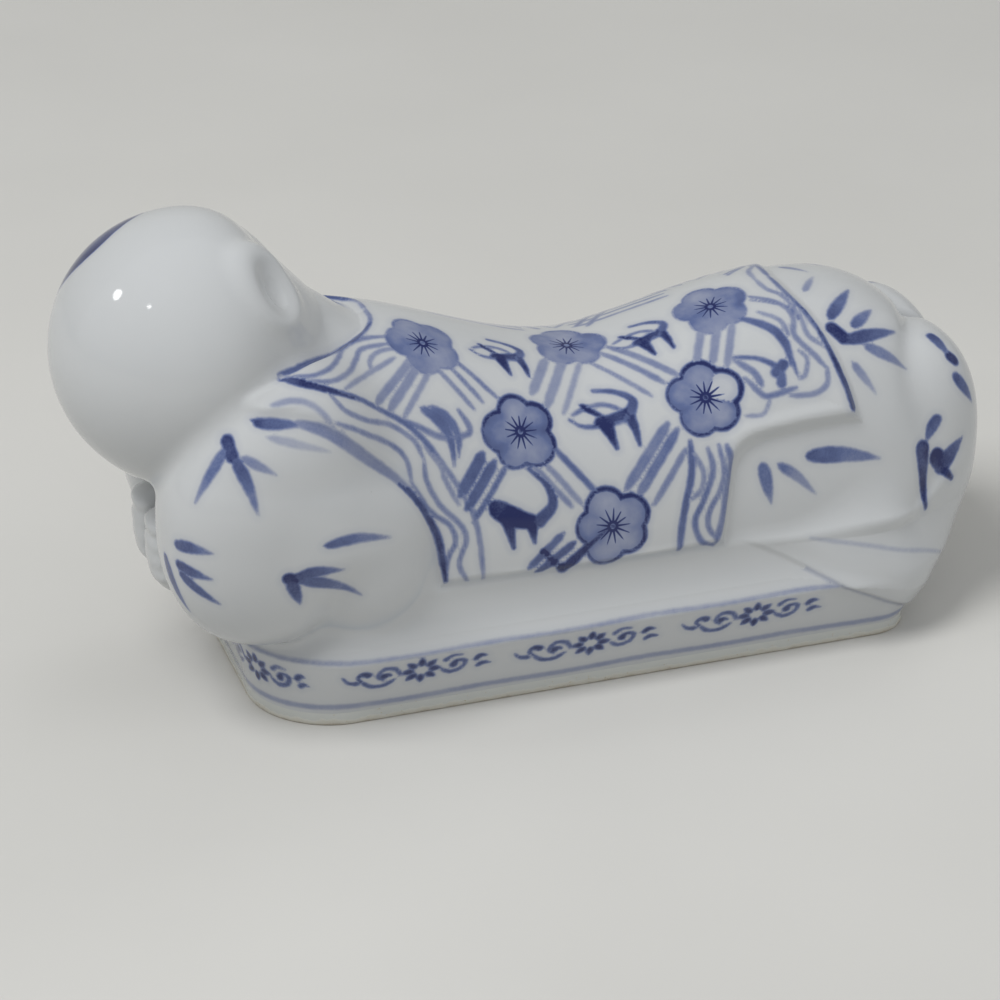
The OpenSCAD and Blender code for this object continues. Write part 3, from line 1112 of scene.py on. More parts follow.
# ---------------------------------------------------------------- meshing


@dataclass
class Skin:
    """Mesh of the glazed skin.

    Attributes:
        verts: Points.
        quads: Corner indices, outward.
        normals: Outward unit normals.
        labels: Piece of each quad, as an index into PIECES.
    """

    verts: Array
    quads: Array
    normals: Array
    labels: Array


@dataclass(frozen=True)
class SkinMesher:
    """Meshes the field with surface nets and settles the mesh on it.

    Attributes:
        figure: The field.
        step: Edge of a grid cell.
        block: Cells along the edge of a coarse block.
        near: Distance within which a block is sampled closely.
        deep: Distance that stands for all the other blocks.
        batch: Blocks sampled at once.
        floor_share: Share of a cell over the floor that is drawn down to it.
        relax: Share of each smoothing move that is made.
        seam_move: Longest move onto a seam, as a share of a cell.
    """

    figure: Figure
    step: float = 0.5
    block: int = 4
    low: Vec3 = (-94.0, -37.0, 2.5)
    high: Vec3 = (82.5, 37.0, 91.0)
    near: float = 3.6
    deep: float = 9.0
    batch: int = 4000
    floor_share: float = 0.75
    relax: float = 0.6
    relax_rounds: int = 3
    seam_move: float = 0.4
    seam_rounds: int = 2

    def field(self) -> Array:
        """Samples the distance on a grid, closely only near the skin.

        Returns:
            Grid of distances.
        """
        low, size = np.array(self.low), self.step * self.block
        n = np.ceil((np.array(self.high) - low) / size).astype(int)
        middle = (self.block - 1) / (2 * self.block)
        coarse = self.figure.distance(low + (lattice(n) + middle) * size).reshape(n)
        grid = np.where(coarse > 0, self.deep, -self.deep).astype(np.float32)
        for axis in range(3):
            grid = np.repeat(grid, self.block, axis=axis)
        blocks = np.argwhere(np.abs(coarse) < self.near) * self.block
        inner = lattice([self.block] * 3)
        for start in range(0, len(blocks), self.batch):
            cells = (blocks[start : start + self.batch, None, :] + inner).reshape(-1, 3)
            grid[tuple(cells.T)] = self.figure.distance(low + cells * self.step)
        return grid

    def net(self, grid: Array) -> tuple[Array, Array]:
        """Surface net of a grid of distances.

        Args:
            grid: Distances.

        Returns:
            Points and outward quads.
        """
        inside, axes, corners = grid < 0, np.eye(3, dtype=int), lattice([2] * 3)
        count = np.zeros(np.array(grid.shape) - 1, np.int8)
        for c in corners:
            count += inside[tuple(slice(k, s - 1 + k) for k, s in zip(c, grid.shape))]
        active = (count > 0) & (count < len(corners))
        cells = np.argwhere(active)
        index = np.full(active.shape, -1, np.int32)
        index[active] = np.arange(len(cells))
        total, hits = np.zeros((len(cells), 3)), np.zeros(len(cells))
        for axis in range(3):
            for c in corners[corners[:, axis] == 0]:
                ends = (cells + c, cells + c + axes[axis])
                va, vb = (grid[tuple(end.T)].astype(float) for end in ends)
                cross = (va < 0) != (vb < 0)
                share = np.where(cross, va / np.where(cross, va - vb, 1.0), 0.0)
                total += np.where(cross[:, None], c + share[:, None] * axes[axis], 0.0)
                hits += cross
        verts = np.array(self.low) + (cells + total / hits[:, None]) * self.step
        quads = []
        for axis in range(3):
            u, v = (axis + 1) % 3, (axis + 2) % 3
            first = np.moveaxis(inside, axis, 0)
            spots = np.argwhere(np.moveaxis(first[:-1] != first[1:], 0, axis))
            fits = np.all(spots < active.shape, axis=1) & (spots[:, u] > 0) & (spots[:, v] > 0)
            spots = spots[fits]
            ring = (spots, spots - axes[u], spots - axes[u] - axes[v], spots - axes[v])
            quad = np.stack([index[tuple(s.T)] for s in ring], axis=1)
            quads.append(np.where(inside[tuple(spots.T)][:, None], quad, quad[:, ::-1]))
        return verts, np.concatenate(quads)

    def settle(self, verts: Array, quads: Array) -> tuple[Array, Array]:
        """Evens out the net and moves it onto the skin.

        Args:
            verts: Points.
            quads: Corner indices.

        Returns:
            Points and normals.
        """
        floor = verts[:, 2] < self.low[2] + self.floor_share * self.step
        ends = np.concatenate([quads[:, [k, (k + 1) % 4]] for k in range(4)])
        ends = np.concatenate([ends, ends[:, ::-1]])
        degree = np.bincount(ends[:, 0], minlength=len(verts))[:, None]
        verts[floor, 2] = self.low[2]
        d, n = self.figure.normal(verts)
        for _ in range(self.relax_rounds):
            verts = verts - n * d[:, None]
            sums = [np.bincount(ends[:, 0], verts[ends[:, 1], k], len(verts)) for k in range(3)]
            pull = np.stack(sums, axis=1) / degree - verts
            pull -= n * (pull * n).sum(axis=1)[:, None]
            pull[floor] = 0.0
            verts = verts + self.relax * pull
            verts[floor, 2] = self.low[2]
            d, n = self.figure.normal(verts)
        verts = verts - n * d[:, None]
        verts[floor, 2] = self.low[2]
        return verts, n

    def seams(self, verts: Array, quads: Array, normals: Array) -> tuple[Array, Array]:
        """Labels the quads and draws the seams between pieces straight.

        Args:
            verts: Points.
            quads: Corner indices.
            normals: Outward normals.

        Returns:
            Points and the piece of each quad.
        """
        labels = self.figure.parts(verts[quads].mean(axis=1)).argmin(axis=1)
        low, high = np.full(len(verts), len(PIECES)), np.full(len(verts), -1)
        for k in range(4):
            np.minimum.at(low, quads[:, k], labels)
            np.maximum.at(high, quads[:, k], labels)
        edge = np.flatnonzero((low != high) & (verts[:, 2] > self.low[2] + self.step))
        rows, n = np.arange(len(edge)), normals[edge]

        def gap(p: Array) -> Array:
            parts = self.figure.parts(p)
            return parts[rows, low[edge]] - parts[rows, high[edge]]

        for _ in range(self.seam_rounds):
            p = verts[edge]
            g = gap(p)
            grad = gradient(gap, p, g)
            grad -= n * (grad * n).sum(axis=1)[:, None]
            move = -(g / ((grad**2).sum(axis=1) + 1e-3))[:, None] * grad
            length = np.linalg.norm(move, axis=1)[:, None] + 1e-9
            verts[edge] = p + move * np.minimum(1.0, self.seam_move * self.step / length)
        return verts, labels

    def build(self) -> Skin:
        """Meshes the whole skin.

        Returns:
            The labelled skin.
        """
        verts, quads = self.net(self.field())
        LOG.info("net of %d points", len(verts))
        verts, normals = self.settle(verts, quads)
        verts, labels = self.seams(verts, quads, normals)
        d, normals = self.figure.normal(verts)
        floor = verts[:, 2] <= self.low[2] + 1e-6
        verts = verts - normals * d[:, None]
        verts[floor, 2] = self.low[2]
        return Skin(verts, quads, normals, labels)


# ---------------------------------------------------------------- pieces


def new_object(name: str, verts: Array, faces: Array) -> bpy.types.Object:
    """Makes a smooth mesh object.

    Args:
        name: Name of the object.
        verts: Points.
        faces: Corner indices, all faces with the same number of corners.

    Returns:
        The linked object.
    """
    mesh = bpy.data.meshes.new(name)
    count, corners = faces.shape
    mesh.vertices.add(len(verts))
    mesh.vertices.foreach_set("co", (verts * MM).astype(np.float32).ravel())
    mesh.loops.add(count * corners)
    mesh.loops.foreach_set("vertex_index", faces.astype(np.int32).ravel())
    mesh.polygons.add(count)
    starts = np.arange(0, count * corners, corners, dtype=np.int32)
    mesh.polygons.foreach_set("loop_start", starts)
    mesh.polygons.foreach_set("use_smooth", np.ones(count, bool))
    mesh.update(calc_edges=True)
    mesh.validate()
    return linked(bpy.data.objects.new(name, mesh))


def linked(obj: bpy.types.Object) -> bpy.types.Object:
    """Puts an object into the scene.

    Args:
        obj: The object.

    Returns:
        The same object.
    """
    bpy.context.scene.collection.objects.link(obj)
    return obj


@dataclass(frozen=True)
class ShellBuilder:
    """Turns the labelled skin into closed thin-walled pieces."""

    wall: float = 1.3
    thin_wall: float = 0.8
    thin: tuple[Piece, ...] = (Piece.EAR, Piece.VEST, Piece.HEM)

    def build(self, skin: Skin, piece: Piece) -> tuple[bpy.types.Object, Array]:
        """Builds one piece.

        Args:
            skin: The labelled skin.
            piece: Which piece.

        Returns:
            The object, and the skin points of its outer vertices, which come before the inner ones.
        """
        quads = skin.quads[skin.labels == PIECES.index(piece)]
        used, local = np.unique(quads, return_inverse=True)
        quads, n = local.reshape(-1, 4), len(used)
        outer, normals = skin.verts[used], skin.normals[used]
        inner = outer - normals * (self.thin_wall if piece in self.thin else self.wall)
        inner[:, 2] = np.maximum(inner[:, 2], outer[:, 2].min())
        edges = np.concatenate([quads[:, [k, (k + 1) % 4]] for k in range(4)]).astype(np.int64)
        rim = edges[~np.isin(edges @ [n, 1], edges @ [1, n])]
        sides = np.stack([rim[:, 1], rim[:, 0], rim[:, 0] + n, rim[:, 1] + n], axis=1)
        faces = np.concatenate([quads, quads[:, ::-1] + n, sides])
        flat = unit(np.cross(outer[rim[:, 1]] - outer[rim[:, 0]], normals[rim[:, 0]]))
        loop_normals = np.concatenate([normals, -normals])[faces]
        loop_normals[2 * len(quads) :] = flat[:, None, :]
        once = np.sort(np.unique(np.sort(faces, axis=1), axis=0, return_index=True)[1])
        verts = np.concatenate([outer, inner])
        obj = new_object(f"{piece.value}_visual", verts, faces[once])
        obj.data.normals_split_custom_set(loop_normals[once].reshape(-1, 3).tolist())
        return obj, used


# ---------------------------------------------------------------- painting


class Brush(Enum):
    """Ways a brush stroke swells from its start (0) to its end (1)."""

    LINE = "line"
    LEAF = "leaf"
    DROP = "drop"
    TAIL = "tail"

    def swell(self, t: Array) -> Array:
        """Share of the full width along the stroke.

        Args:
            t: Places along the stroke.

        Returns:
            Shares of the width.
        """
        if self is Brush.LINE:
            return np.minimum(1.0, 0.55 + 4.0 * np.minimum(t, 1.0 - t))
        if self is Brush.LEAF:
            return 0.12 + 0.88 * np.sin(np.pi * t**0.62) ** 0.9
        if self is Brush.DROP:
            return 0.35 + 0.65 * t**1.5
        return 0.25 + 0.75 * (1.0 - t)


@dataclass(frozen=True)
class Stroke:
    """One brush stroke.

    Attributes:
        path: Control points near the skin.
        width: Full width.
        tone: Strength of the cobalt, 0 to 1.
        brush: How the stroke swells.
        fade: Share of the tone lost toward the end.
    """

    path: Array | Sequence[Vec3]
    width: float
    tone: float
    brush: Brush = Brush.LINE
    fade: float = 0.0

    def mirrored(self) -> "Stroke":
        """The same stroke on the other side of the pillow.

        Returns:
            The mirrored stroke.
        """
        return replace(self, path=np.asarray(self.path, float) * [1.0, -1.0, 1.0])

    def flowing(self, spacing: float = 0.8, least: int = 8) -> Array:
        """Smooth path through the control points.

        Args:
            spacing: Distance between the points.
            least: Least number of points.

        Returns:
            Points along the path.
        """
        points = np.asarray(self.path, float)
        length = np.linalg.norm(np.diff(points, axis=0), axis=1).sum()
        t = np.linspace(0.0, len(points) - 1.0, max(least, int(length / spacing)))
        knots = tuple(range(len(points)))
        return np.stack([Knots(knots, tuple(column))(t) for column in points.T], axis=1)


def leaf(root: Vec3, tip: Vec3, width: float, tone: float, bow: float = 0.0) -> Stroke:
    """Bamboo leaf: one pressed stroke from root to tip, which runs dry.

    Args:
        root: Where the brush comes down.
        tip: Where it leaves.
        width: Full width.
        tone: Strength of the cobalt.
        bow: Rise of the middle above the straight line.

    Returns:
        The stroke.
    """
    middle = (np.array(root, float) + np.array(tip, float)) / 2 + [0.0, 0.0, bow]
    return Stroke(np.stack([root, middle, tip]), width, tone, Brush.LEAF, 0.4)


@dataclass
class Canvas:
    """Cobalt painting on the skin, as distances to the nearest brush mark at every vertex.

    Attributes:
        figure: The field, which carries strokes onto the skin.
        skin: The skin to paint on.
        far: Distance that stands for bare glaze.
        nowhere: Distance that stands for no blossom.
        marks: Values at the vertices by name.
        strokes: Strokes that are still to be laid.
    """

    figure: Figure
    skin: Skin
    far: float = 4.0
    nowhere: float = 30.0
    marks: dict[str, Array] = field(default_factory=dict)
    strokes: list[Stroke] = field(default_factory=list)

    def __post_init__(self) -> None:
        """Starts with bare glaze."""
        names = ("ink", "tone", "wash", "wash_tone", "bloom", "bloom_u", "bloom_v")
        self.marks = {name: np.full(len(self.skin.verts), self.bare(name)) for name in names}

    def bare(self, name: str) -> float:
        """Value of a mark on unpainted glaze.

        Args:
            name: Name of the mark.

        Returns:
            The value.
        """
        if name.startswith("bloom"):
            return self.nowhere
        return self.far if name in ("ink", "wash") else 0.0

    def add(self, strokes: Iterable[Stroke], both: bool = False) -> None:
        """Adds brush strokes.

        Args:
            strokes: The strokes.
            both: Whether to paint the other side of the pillow too.
        """
        for stroke in strokes:
            self.strokes += [stroke, stroke.mirrored()] if both else [stroke]

    def line(self, where: Array, distance: Array, tone: Array | float) -> None:
        """Paints lines given by their distance.

        Args:
            where: Indices of the vertices.
            distance: Distance to the edge of the line, negative on it.
            tone: Strength of the cobalt.
        """
        self._put(where, distance < self.marks["ink"][where], {"ink": distance, "tone": tone})

    def fill(self, where: Array, distance: Array, tone: Array | float) -> None:
        """Paints a pale wash given by its distance, over whatever lines are there.

        Args:
            where: Indices of the vertices.
            distance: Distance to the edge of the wash, negative on it.
            tone: Strength of the cobalt.
        """
        ink = self.marks["ink"]
        ink[where] = np.maximum(ink[where], -distance)
        wash = {"wash": distance, "wash_tone": tone}
        self._put(where, distance < self.marks["wash"][where], wash)

    def bloom(self, where: Array, u: Array, v: Array) -> None:
        """Notes the place of the stamens of the nearest blossom.

        Args:
            where: Indices of the vertices.
            u: Places right of the middle of the blossom.
            v: Places above it.
        """
        away = np.hypot(u, v)
        nearer = away < self.marks["bloom"][where]
        self._put(where, nearer, {"bloom_u": u, "bloom_v": v, "bloom": away})

    def _put(self, where: Array, wanted: Array, values: dict[str, Array | float]) -> None:
        for name, value in values.items():
            self.marks[name][where] = np.where(wanted, value, self.marks[name][where])

    def close_to(self, low: Array, high: Array) -> Array:
        """Vertices that a mark in a box can reach.

        Args:
            low: Lower corner.
            high: Upper corner.

        Returns:
            Their indices.
        """
        v = self.skin.verts
        return np.flatnonzero(np.all((v > low - self.far) & (v < high + self.far), axis=1))

    def finish(self) -> None:
        """Lays all the strokes on the skin."""
        paths = [stroke.flowing() for stroke in self.strokes]
        ends = np.cumsum([len(path) for path in paths])[:-1]
        laid = np.split(self.figure.onto(np.concatenate(paths)), ends)
        for stroke, path in zip(self.strokes, laid):
            self._lay(stroke, path)

    def _lay(self, stroke: Stroke, path: Array) -> None:
        where = self.close_to(path.min(axis=0), path.max(axis=0))
        t = np.linspace(0.0, 1.0, len(path))
        half = stroke.brush.swell(t) * stroke.width / 2
        tone = stroke.tone * (1.0 - stroke.fade * t)
        p = self.skin.verts[where]
        best, shade = np.full(len(p), np.inf), np.zeros(len(p))
        for k in range(len(path) - 1):
            a, ab = path[k], path[k + 1] - path[k]
            s = np.clip((p - a) @ ab / (ab @ ab + 1e-12), 0.0, 1.0)
            d = np.linalg.norm(p - a - s[:, None] * ab, axis=1) - blend(half[k], half[k + 1], s)
            shade = np.where(d < best, tone[k], shade)
            best = np.minimum(d, best)
        self.line(where, best, shade)

    def frame_at(self, anchor: Vec3 | Array, along: Vec3) -> tuple[Array, Array, Array]:
        """Tangent frame on the skin.

        Args:
            anchor: Point near the skin.
            along: Direction that is to the right.

        Returns:
            Point on the skin, direction to the right and direction up.
        """
        p = self.figure.onto(np.array([anchor], float))
        n = self.figure.normal(p)[1][0]
        u = unit(np.array(along) - n * np.dot(n, along))
        return p[0], u, np.cross(n, u)

    def frame_on_body(self, x: float, a: float) -> tuple[Array, Array, Array]:
        """Tangent frame over a place on the chart of the body, with the feet to the right.

        Args:
            x: Station.
            a: Angle round the body.

        Returns:
            Point on the skin, direction to the right and direction up.
        """
        return self.frame_at(self.figure.body.point(x, a), (1.0, 0.0, 0.0))


@dataclass(frozen=True)
class Mark:
    """Brush mark in two coordinates, whose meaning depends on where it is laid.

    Attributes:
        points: Control points.
        width: Full width.
        tone: Strength of the cobalt.
        brush: How the stroke swells.
    """

    points: tuple[Span, ...]
    width: float
    tone: float
    brush: Brush = Brush.LINE

    def at(self, place: tuple[Array, Array, Array], scale: float) -> Stroke:
        """Mark of a motif, by millimetres right of and above the motif's middle.

        Args:
            place: Point, right and up.
            scale: Size of the motif.

        Returns:
            The stroke.
        """
        p, u, v = place
        q = np.array(self.points, float) * scale
        return Stroke(p + q[:, :1] * u + q[:, 1:] * v, self.width * scale, self.tone, self.brush)

    def over(self, figure: Figure) -> Stroke:
        """Mark on the vest, by station and angle on the chart of the body.

        Args:
            figure: The field.

        Returns:
            The stroke.
        """
        x, a = np.array(self.points, float).T
        return Stroke(figure.above(x, a), self.width, self.tone, self.brush)

    def on_face(self, head: HeadForm, side: Side = Side.FAR) -> Stroke:
        """Mark on the face, by angle from the crown and angle from the middle of the face.

        Args:
            head: The head.
            side: Which half of the face.

        Returns:
            The stroke.
        """
        t, f = np.array(self.points, float).T
        return Stroke(head.point(t, 90.0 + side.value * f), self.width, self.tone, self.brush)


@dataclass(frozen=True)
class PlumBlossom:
    """Five-petalled plum blossom: washed petals in a thick outline, with a ring of stamens.

    Attributes:
        x: Station on the body.
        a: Angle round the body.
        turn: Rotation.
        wash: Strength of the wash.
        outline: Width of the outline.
        tone: Strength of the outline.
        open_petal: Petal that is left white, or -1.
        uneven: How far petals stray in angle, and in share of their size.
        press: Share by which the outline swells on its heavy side.
        heavy: Angle of that side.
    """

    x: float
    a: float
    turn: float = 0.0
    wash: float = 0.6
    outline: float = 0.84
    tone: float = 0.95
    open_petal: int = -1
    open_wash: float = 0.1
    radius: float = 7.1
    petals: int = 5
    uneven: Span = (5.0, 0.07)
    press: float = 0.25
    heavy: float = 40.0
    overlap: float = 0.2

    def paint(self, canvas: Canvas) -> None:
        """Paints the blossom.

        Args:
            canvas: Where to paint.
        """
        p, u, v = canvas.frame_on_body(self.x, self.a)
        where = canvas.close_to(p - self.radius, p + self.radius)
        q = canvas.skin.verts[where] - p
        s, t = q @ u, q @ v
        stray, swelling = self.uneven
        petal_r = self.radius / 2
        best, owner = np.full(len(where), np.inf), np.zeros(len(where), int)
        for k in range(self.petals):
            angle = 90.0 + self.turn + 360.0 * k / self.petals
            angle = math.radians(angle + stray * math.sin(2.3 * k + self.x))
            away = np.hypot(s - petal_r * math.cos(angle), t - petal_r * math.sin(angle))
            d = away - petal_r * (1.0 + swelling * math.sin(3.0 * k + self.x))
            owner = np.where(d < best, k, owner)
            best = np.minimum(best, d)
        angle = np.degrees(np.arctan2(t, s)) - self.turn
        tone = self.wash * (0.85 + 0.15 * np.cos(np.radians(angle * 2.0)))
        canvas.fill(where, best, np.where(owner == self.open_petal, self.open_wash, tone))
        swell = 1.0 + self.press * np.cos(np.radians(angle - self.heavy))
        rim = np.abs(best + self.overlap) - self.outline * swell / 2
        canvas.line(where, rim, self.tone * (0.85 + 0.15 * swell))
        canvas.bloom(where, s, t)


VEST_MARKS = (
    Mark(((-40, 30), (-35.5, 24), (-33, 19), (-31, 13), (-30, 3.5)), 1.35, 0.8),
    Mark(((-57.5, 53.5), (-54, 50.5), (-48.5, 47), (-41, 45.5)), 1.8, 0.85, Brush.LEAF),
    Mark(((-50, 47.5), (-41, 45.5), (-34.5, 42.5), (-29, 33)), 1.1, 0.6),
    Mark(((-32, 39.5), (-26.5, 26), (-24, 17), (-23, 3)), 0.95, 0.5),
    Mark(((-57.5, 54.5), (-53, 56.5), (-45.4, 64.5), (-39.4, 73.5), (-35.9, 82), (-35.4, 90)),
         1.5, 0.7, Brush.LEAF),
    Mark(((-39.4, 73.5), (-35.9, 82), (-35.4, 90)), 0.8, 0.5),
    Mark(((37.3, 90), (37.7, 80), (38.6, 70), (39.8, 58)), 1.1, 0.55),
    Mark(((38.3, 74), (39.6, 61), (40.8, 46), (41.8, 33)), 1.9, 0.8, Brush.DROP),
    Mark(((17.5, 35), (17, 25.5), (15.7, 18), (14.5, 10), (14, 3)), 1.3, 0.66),
    Mark(((30.2, 73), (33.7, 65), (35, 58), (35.2, 51), (35.6, 44)), 1.8, 0.66, Brush.LEAF),
    Mark(((-49.5, 46.5), (-47, 42), (-43, 40.5), (-38, 41.5), (-34, 38.5), (-32.5, 33.5)),
         0.95, 0.46),
    Mark(((-32.5, 33.5), (-32.5, 28), (-30.5, 22), (-27, 17), (-26, 13), (-27.5, 7.5), (-26, 3)),
         0.95, 0.5),
    Mark(((-49, 39), (-43.5, 37), (-38.5, 36), (-36, 33), (-35.5, 27)), 0.95, 0.48),
    Mark(((-35.5, 27), (-32.5, 20.5), (-29, 17), (-28, 13), (-29.5, 9), (-30, 5)), 0.95, 0.52),
    Mark(((-32, 37), (-29.5, 32), (-29, 28.5), (-27, 22)), 0.9, 0.44),
    Mark(((-56.5, 53.5), (-52, 52), (-48, 54.5), (-45, 61), (-43, 67), (-39, 72), (-34.5, 74)),
         0.9, 0.5),
    Mark(((-55, 51), (-48.5, 50), (-44, 55), (-41.5, 62), (-39.5, 67.5), (-34, 71)), 0.95, 0.46),
    Mark(((-46, 48), (-40, 57), (-34, 65)), 0.9, 0.42),
    Mark(((-39, 58.5), (-39, 62), (-37, 66.5), (-33, 69.5)), 0.85, 0.42),
    Mark(((17.5, 32), (19.2, 24.5), (18.5, 19.5), (16.3, 17)), 0.95, 0.44),
    Mark(((20.5, 31), (21, 24), (18.8, 16), (17, 10.5), (18.2, 4.5), (20.8, 2.5)), 1.1, 0.56),
    Mark(((22.5, 31), (23, 23), (22, 17.5), (20, 13), (19.5, 8.5), (21, 4.5)), 1, 0.52),
    Mark(((23.8, 30), (24.2, 25), (23.2, 17.5), (22.4, 10), (21, 3)), 1.3, 0.52),
    Mark(((35.5, 90), (35.8, 83), (37.2, 77), (38, 66), (38.2, 58.5), (39.8, 53)), 0.95, 0.42),
    Mark(((33.3, 81), (36.2, 74), (37.2, 67), (36.5, 59.5), (38, 52), (39.4, 45.5)), 1.1, 0.46),
    Mark(((39.4, 45.5), (38.9, 40.5), (37, 38.5), (34, 39.5)), 1, 0.42),
    Mark(((33.2, 79), (37, 71.5), (37.8, 65.5)), 1.1, 0.56, Brush.DROP),
    Mark(((35.6, 44), (36.5, 45), (37.2, 50), (36.5, 53.5)), 0.8, 0.45),
    Mark(((33.2, 72.5), (35.4, 66.5), (35.8, 60)), 0.9, 0.42),
    Mark(((28.6, 49), (30.4, 42), (31.8, 41), (35, 41.5)), 1.1, 0.5),
    Mark(((27.6, 37), (30, 36), (31.4, 40.5)), 0.7, 0.36),
    Mark(((-31.5, 48.5), (-28.5, 45), (-27, 39.5), (-27, 32)), 2.1, 0.62, Brush.LEAF),
    Mark(((-30, 49), (-27, 46), (-25.5, 40.5), (-26, 34.5)), 1.9, 0.58, Brush.LEAF),
    Mark(((-35.5, 44), (-32, 42), (-28.5, 40), (-24.5, 41), (-23, 43.5), (-24.5, 49)), 1.1, 0.52),
    Mark(((28, 57.5), (31.3, 54), (33.4, 48.5), (33.2, 44)), 1.9, 0.64, Brush.DROP),
    Mark(((28, 56), (30, 50), (30.6, 45)), 1.3, 0.5),
    Mark(((34.3, 50.5), (32.6, 47.5)), 2, 0.72),
    Mark(((-30.5, 66), (-40, 46.5)), 1.6, 0.42),
    Mark(((-28.5, 67), (-37.5, 46)), 1.7, 0.42),
    Mark(((-27, 65), (-35, 44.5)), 1.1, 0.4),
    Mark(((-27, 64), (-21.5, 50)), 0.9, 0.5),
    Mark(((-24.5, 66), (-19.5, 53)), 0.9, 0.5),
    Mark(((-22.5, 68), (-16.5, 55.5)), 0.95, 0.52),
    Mark(((-21.5, 36), (-26.5, 24.5)), 2.2, 0.66),
    Mark(((-19.5, 34), (-25.5, 21)), 2, 0.66),
    Mark(((-17, 34), (-24.5, 17.5)), 1.1, 0.6),
    Mark(((-4, 77.5), (-9.5, 59.5)), 1.8, 0.38),
    Mark(((-0.5, 78), (-7.5, 54.5)), 1.8, 0.38),
    Mark(((2.5, 76.5), (-4.5, 52.5)), 1.1, 0.34),
    Mark(((8.5, 82), (18.5, 58)), 1.3, 0.46),
    Mark(((6.5, 80), (15.5, 57.5)), 1.2, 0.46),
    Mark(((3, 77.5), (12.5, 54.5)), 0.9, 0.42),
    Mark(((25, 73.5), (22, 60.5)), 1.5, 0.4),
    Mark(((27.5, 73), (24.5, 58)), 1.6, 0.4),
    Mark(((29.5, 71.5), (26.5, 55)), 1.4, 0.4),
    Mark(((14, 43), (4.5, 25)), 1.9, 0.5),
    Mark(((15.5, 40), (6.5, 22)), 1.8, 0.54),
    Mark(((16.5, 33), (9.5, 18.5)), 1.2, 0.48),
    Mark(((-8, 40), (-1, 24.5)), 1.2, 0.6),
    Mark(((-10.5, 35.5), (-4, 21.5)), 1.1, 0.42),
    Mark(((-12.5, 34), (-6, 21)), 1.1, 0.46),
    Mark(((1, 13.6), (-3, 9), (-8, 3)), 2.3, 0.86, Brush.DROP),
    Mark(((-8, 13), (-14.5, 4.5)), 1.5, 0.64),
    Mark(((-6, 10), (-13, 3)), 1.5, 0.72),
    Mark(((-11.8, 8.2), (-11.3, 8)), 1.7, 1),
    Mark(((-10.4, 5.6), (-9.9, 5.4)), 1.9, 1),
    Mark(((-8.4, 3.4), (-7.8, 3.2)), 2, 1),
)
FAR_BARS = tuple(
    Mark(((x0, 100 + 4 * k), ((x0 + x1) / 2, 101 + 4.5 * k), (x1, 99 + 4 * k)), 0.9, 0.4)
    for x0, x1 in ((-22, -4), (6, 24))
    for k in range(3)
)

SPRIG = (
    Mark(((-3.5, 3.2), (-1.5, 1.5), (1.2, -0.4)), 1.3, 0.9, Brush.LEAF),
    Mark(((-5.4, 1.2), (-2.7, 2.3), (0.4, 2.7), (2.7, 1.9), (4.3, 0.4)), 0.9, 0.55),
    Mark(((-6.2, 0.4), (-4.3, -1), (-1.2, -1.4), (3.5, -0.8)), 1.4, 0.62, Brush.DROP),
    Mark(((-1.2, -0.9), (1.5, -0.6), (5, 0.2)), 2.3, 0.85),
    Mark(((0, 5.8), (3.5, 5), (6.2, 3.1), (6.2, 1.5), (4.6, -0.4)), 2.4, 0.68, Brush.DROP),
    Mark(((0.4, -1), (0.9, -3.2), (1.5, -5.8)), 3, 0.9, Brush.TAIL),
    Mark(((5, 0.2), (5.6, -2.8), (5.8, -5.8)), 2.4, 0.84, Brush.TAIL),
)
CRESCENT = (
    Mark(((-5.2, 2.6), (-3.4, 1), (-0.7, 0), (3.8, -1.5)), 3.6, 0.9, Brush.LEAF),
    Mark(((-4.6, 1.4), (-2, -0.4), (2, -1.6)), 2.8, 0.95),
    Mark(((3.4, -1.6), (6, 1), (5.4, 4.6), (2.2, 8.2)), 2.5, 0.76, Brush.TAIL),
    Mark(((-2.6, -0.6), (-2.2, -3), (-1.8, -5.8)), 2.7, 0.88, Brush.TAIL),
    Mark(((1.8, -1.8), (2, -3.4), (2.2, -5.4)), 2.5, 0.86, Brush.TAIL),
)

BORDER_FLOWER = tuple(
    Mark(
        tuple((r * math.cos(math.pi * k / 4),
         0.82 * r * math.sin(math.pi * k / 4)) for r in (1.6, 2.5, 3.5)),
        1.35, 0.92, Brush.LEAF,
    )
    for k in range(8)
)
BORDER_SCROLL = (
    Mark(((-3.6, -0.4), (-4.6, 1.4), (-6.6, 1.7), (-7.6, 0.2), (-6.6, -0.9)), 0.81, 0.75),
    Mark(((-5.4, 0), (-6, 0.2), (-6.6, 0)), 1.49, 0.9, Brush.DROP),
    Mark(((-4.6, -1.2), (-6.4, -2.3), (-8.8, -2.1), (-10.4, -0.6)), 0.81, 0.75),
    Mark(((-10.4, -0.6), (-11.2, 0.4), (-10.4, 1.3), (-9.4, 0.9)), 1.35, 0.9, Brush.DROP),
    Mark(((-11.4, -0.9), (-12.8, -0.6), (-13.8, 0.5)), 1.01, 0.8, Brush.TAIL),
    Mark(((3.6, -0.5), (5.2, -1.6), (7.2, -1), (7.8, 0.6), (6.6, 1.2)), 0.81, 0.75),
    Mark(((6.9, 1.1), (6.1, 0.9), (5.7, 0.2)), 1.49, 0.9, Brush.DROP),
    Mark(((4.2, 1.6), (5.4, 2.4), (7.2, 2.3)), 0.94, 0.8, Brush.TAIL),
    Mark(((9.4, 0.4), (10.4, 1.3), (11.6, 1.1)), 1.15, 0.85, Brush.LEAF),
    Mark(((9.8, -1.3), (11, -0.6), (12.4, -0.9)), 1.01, 0.8, Brush.LEAF),
)
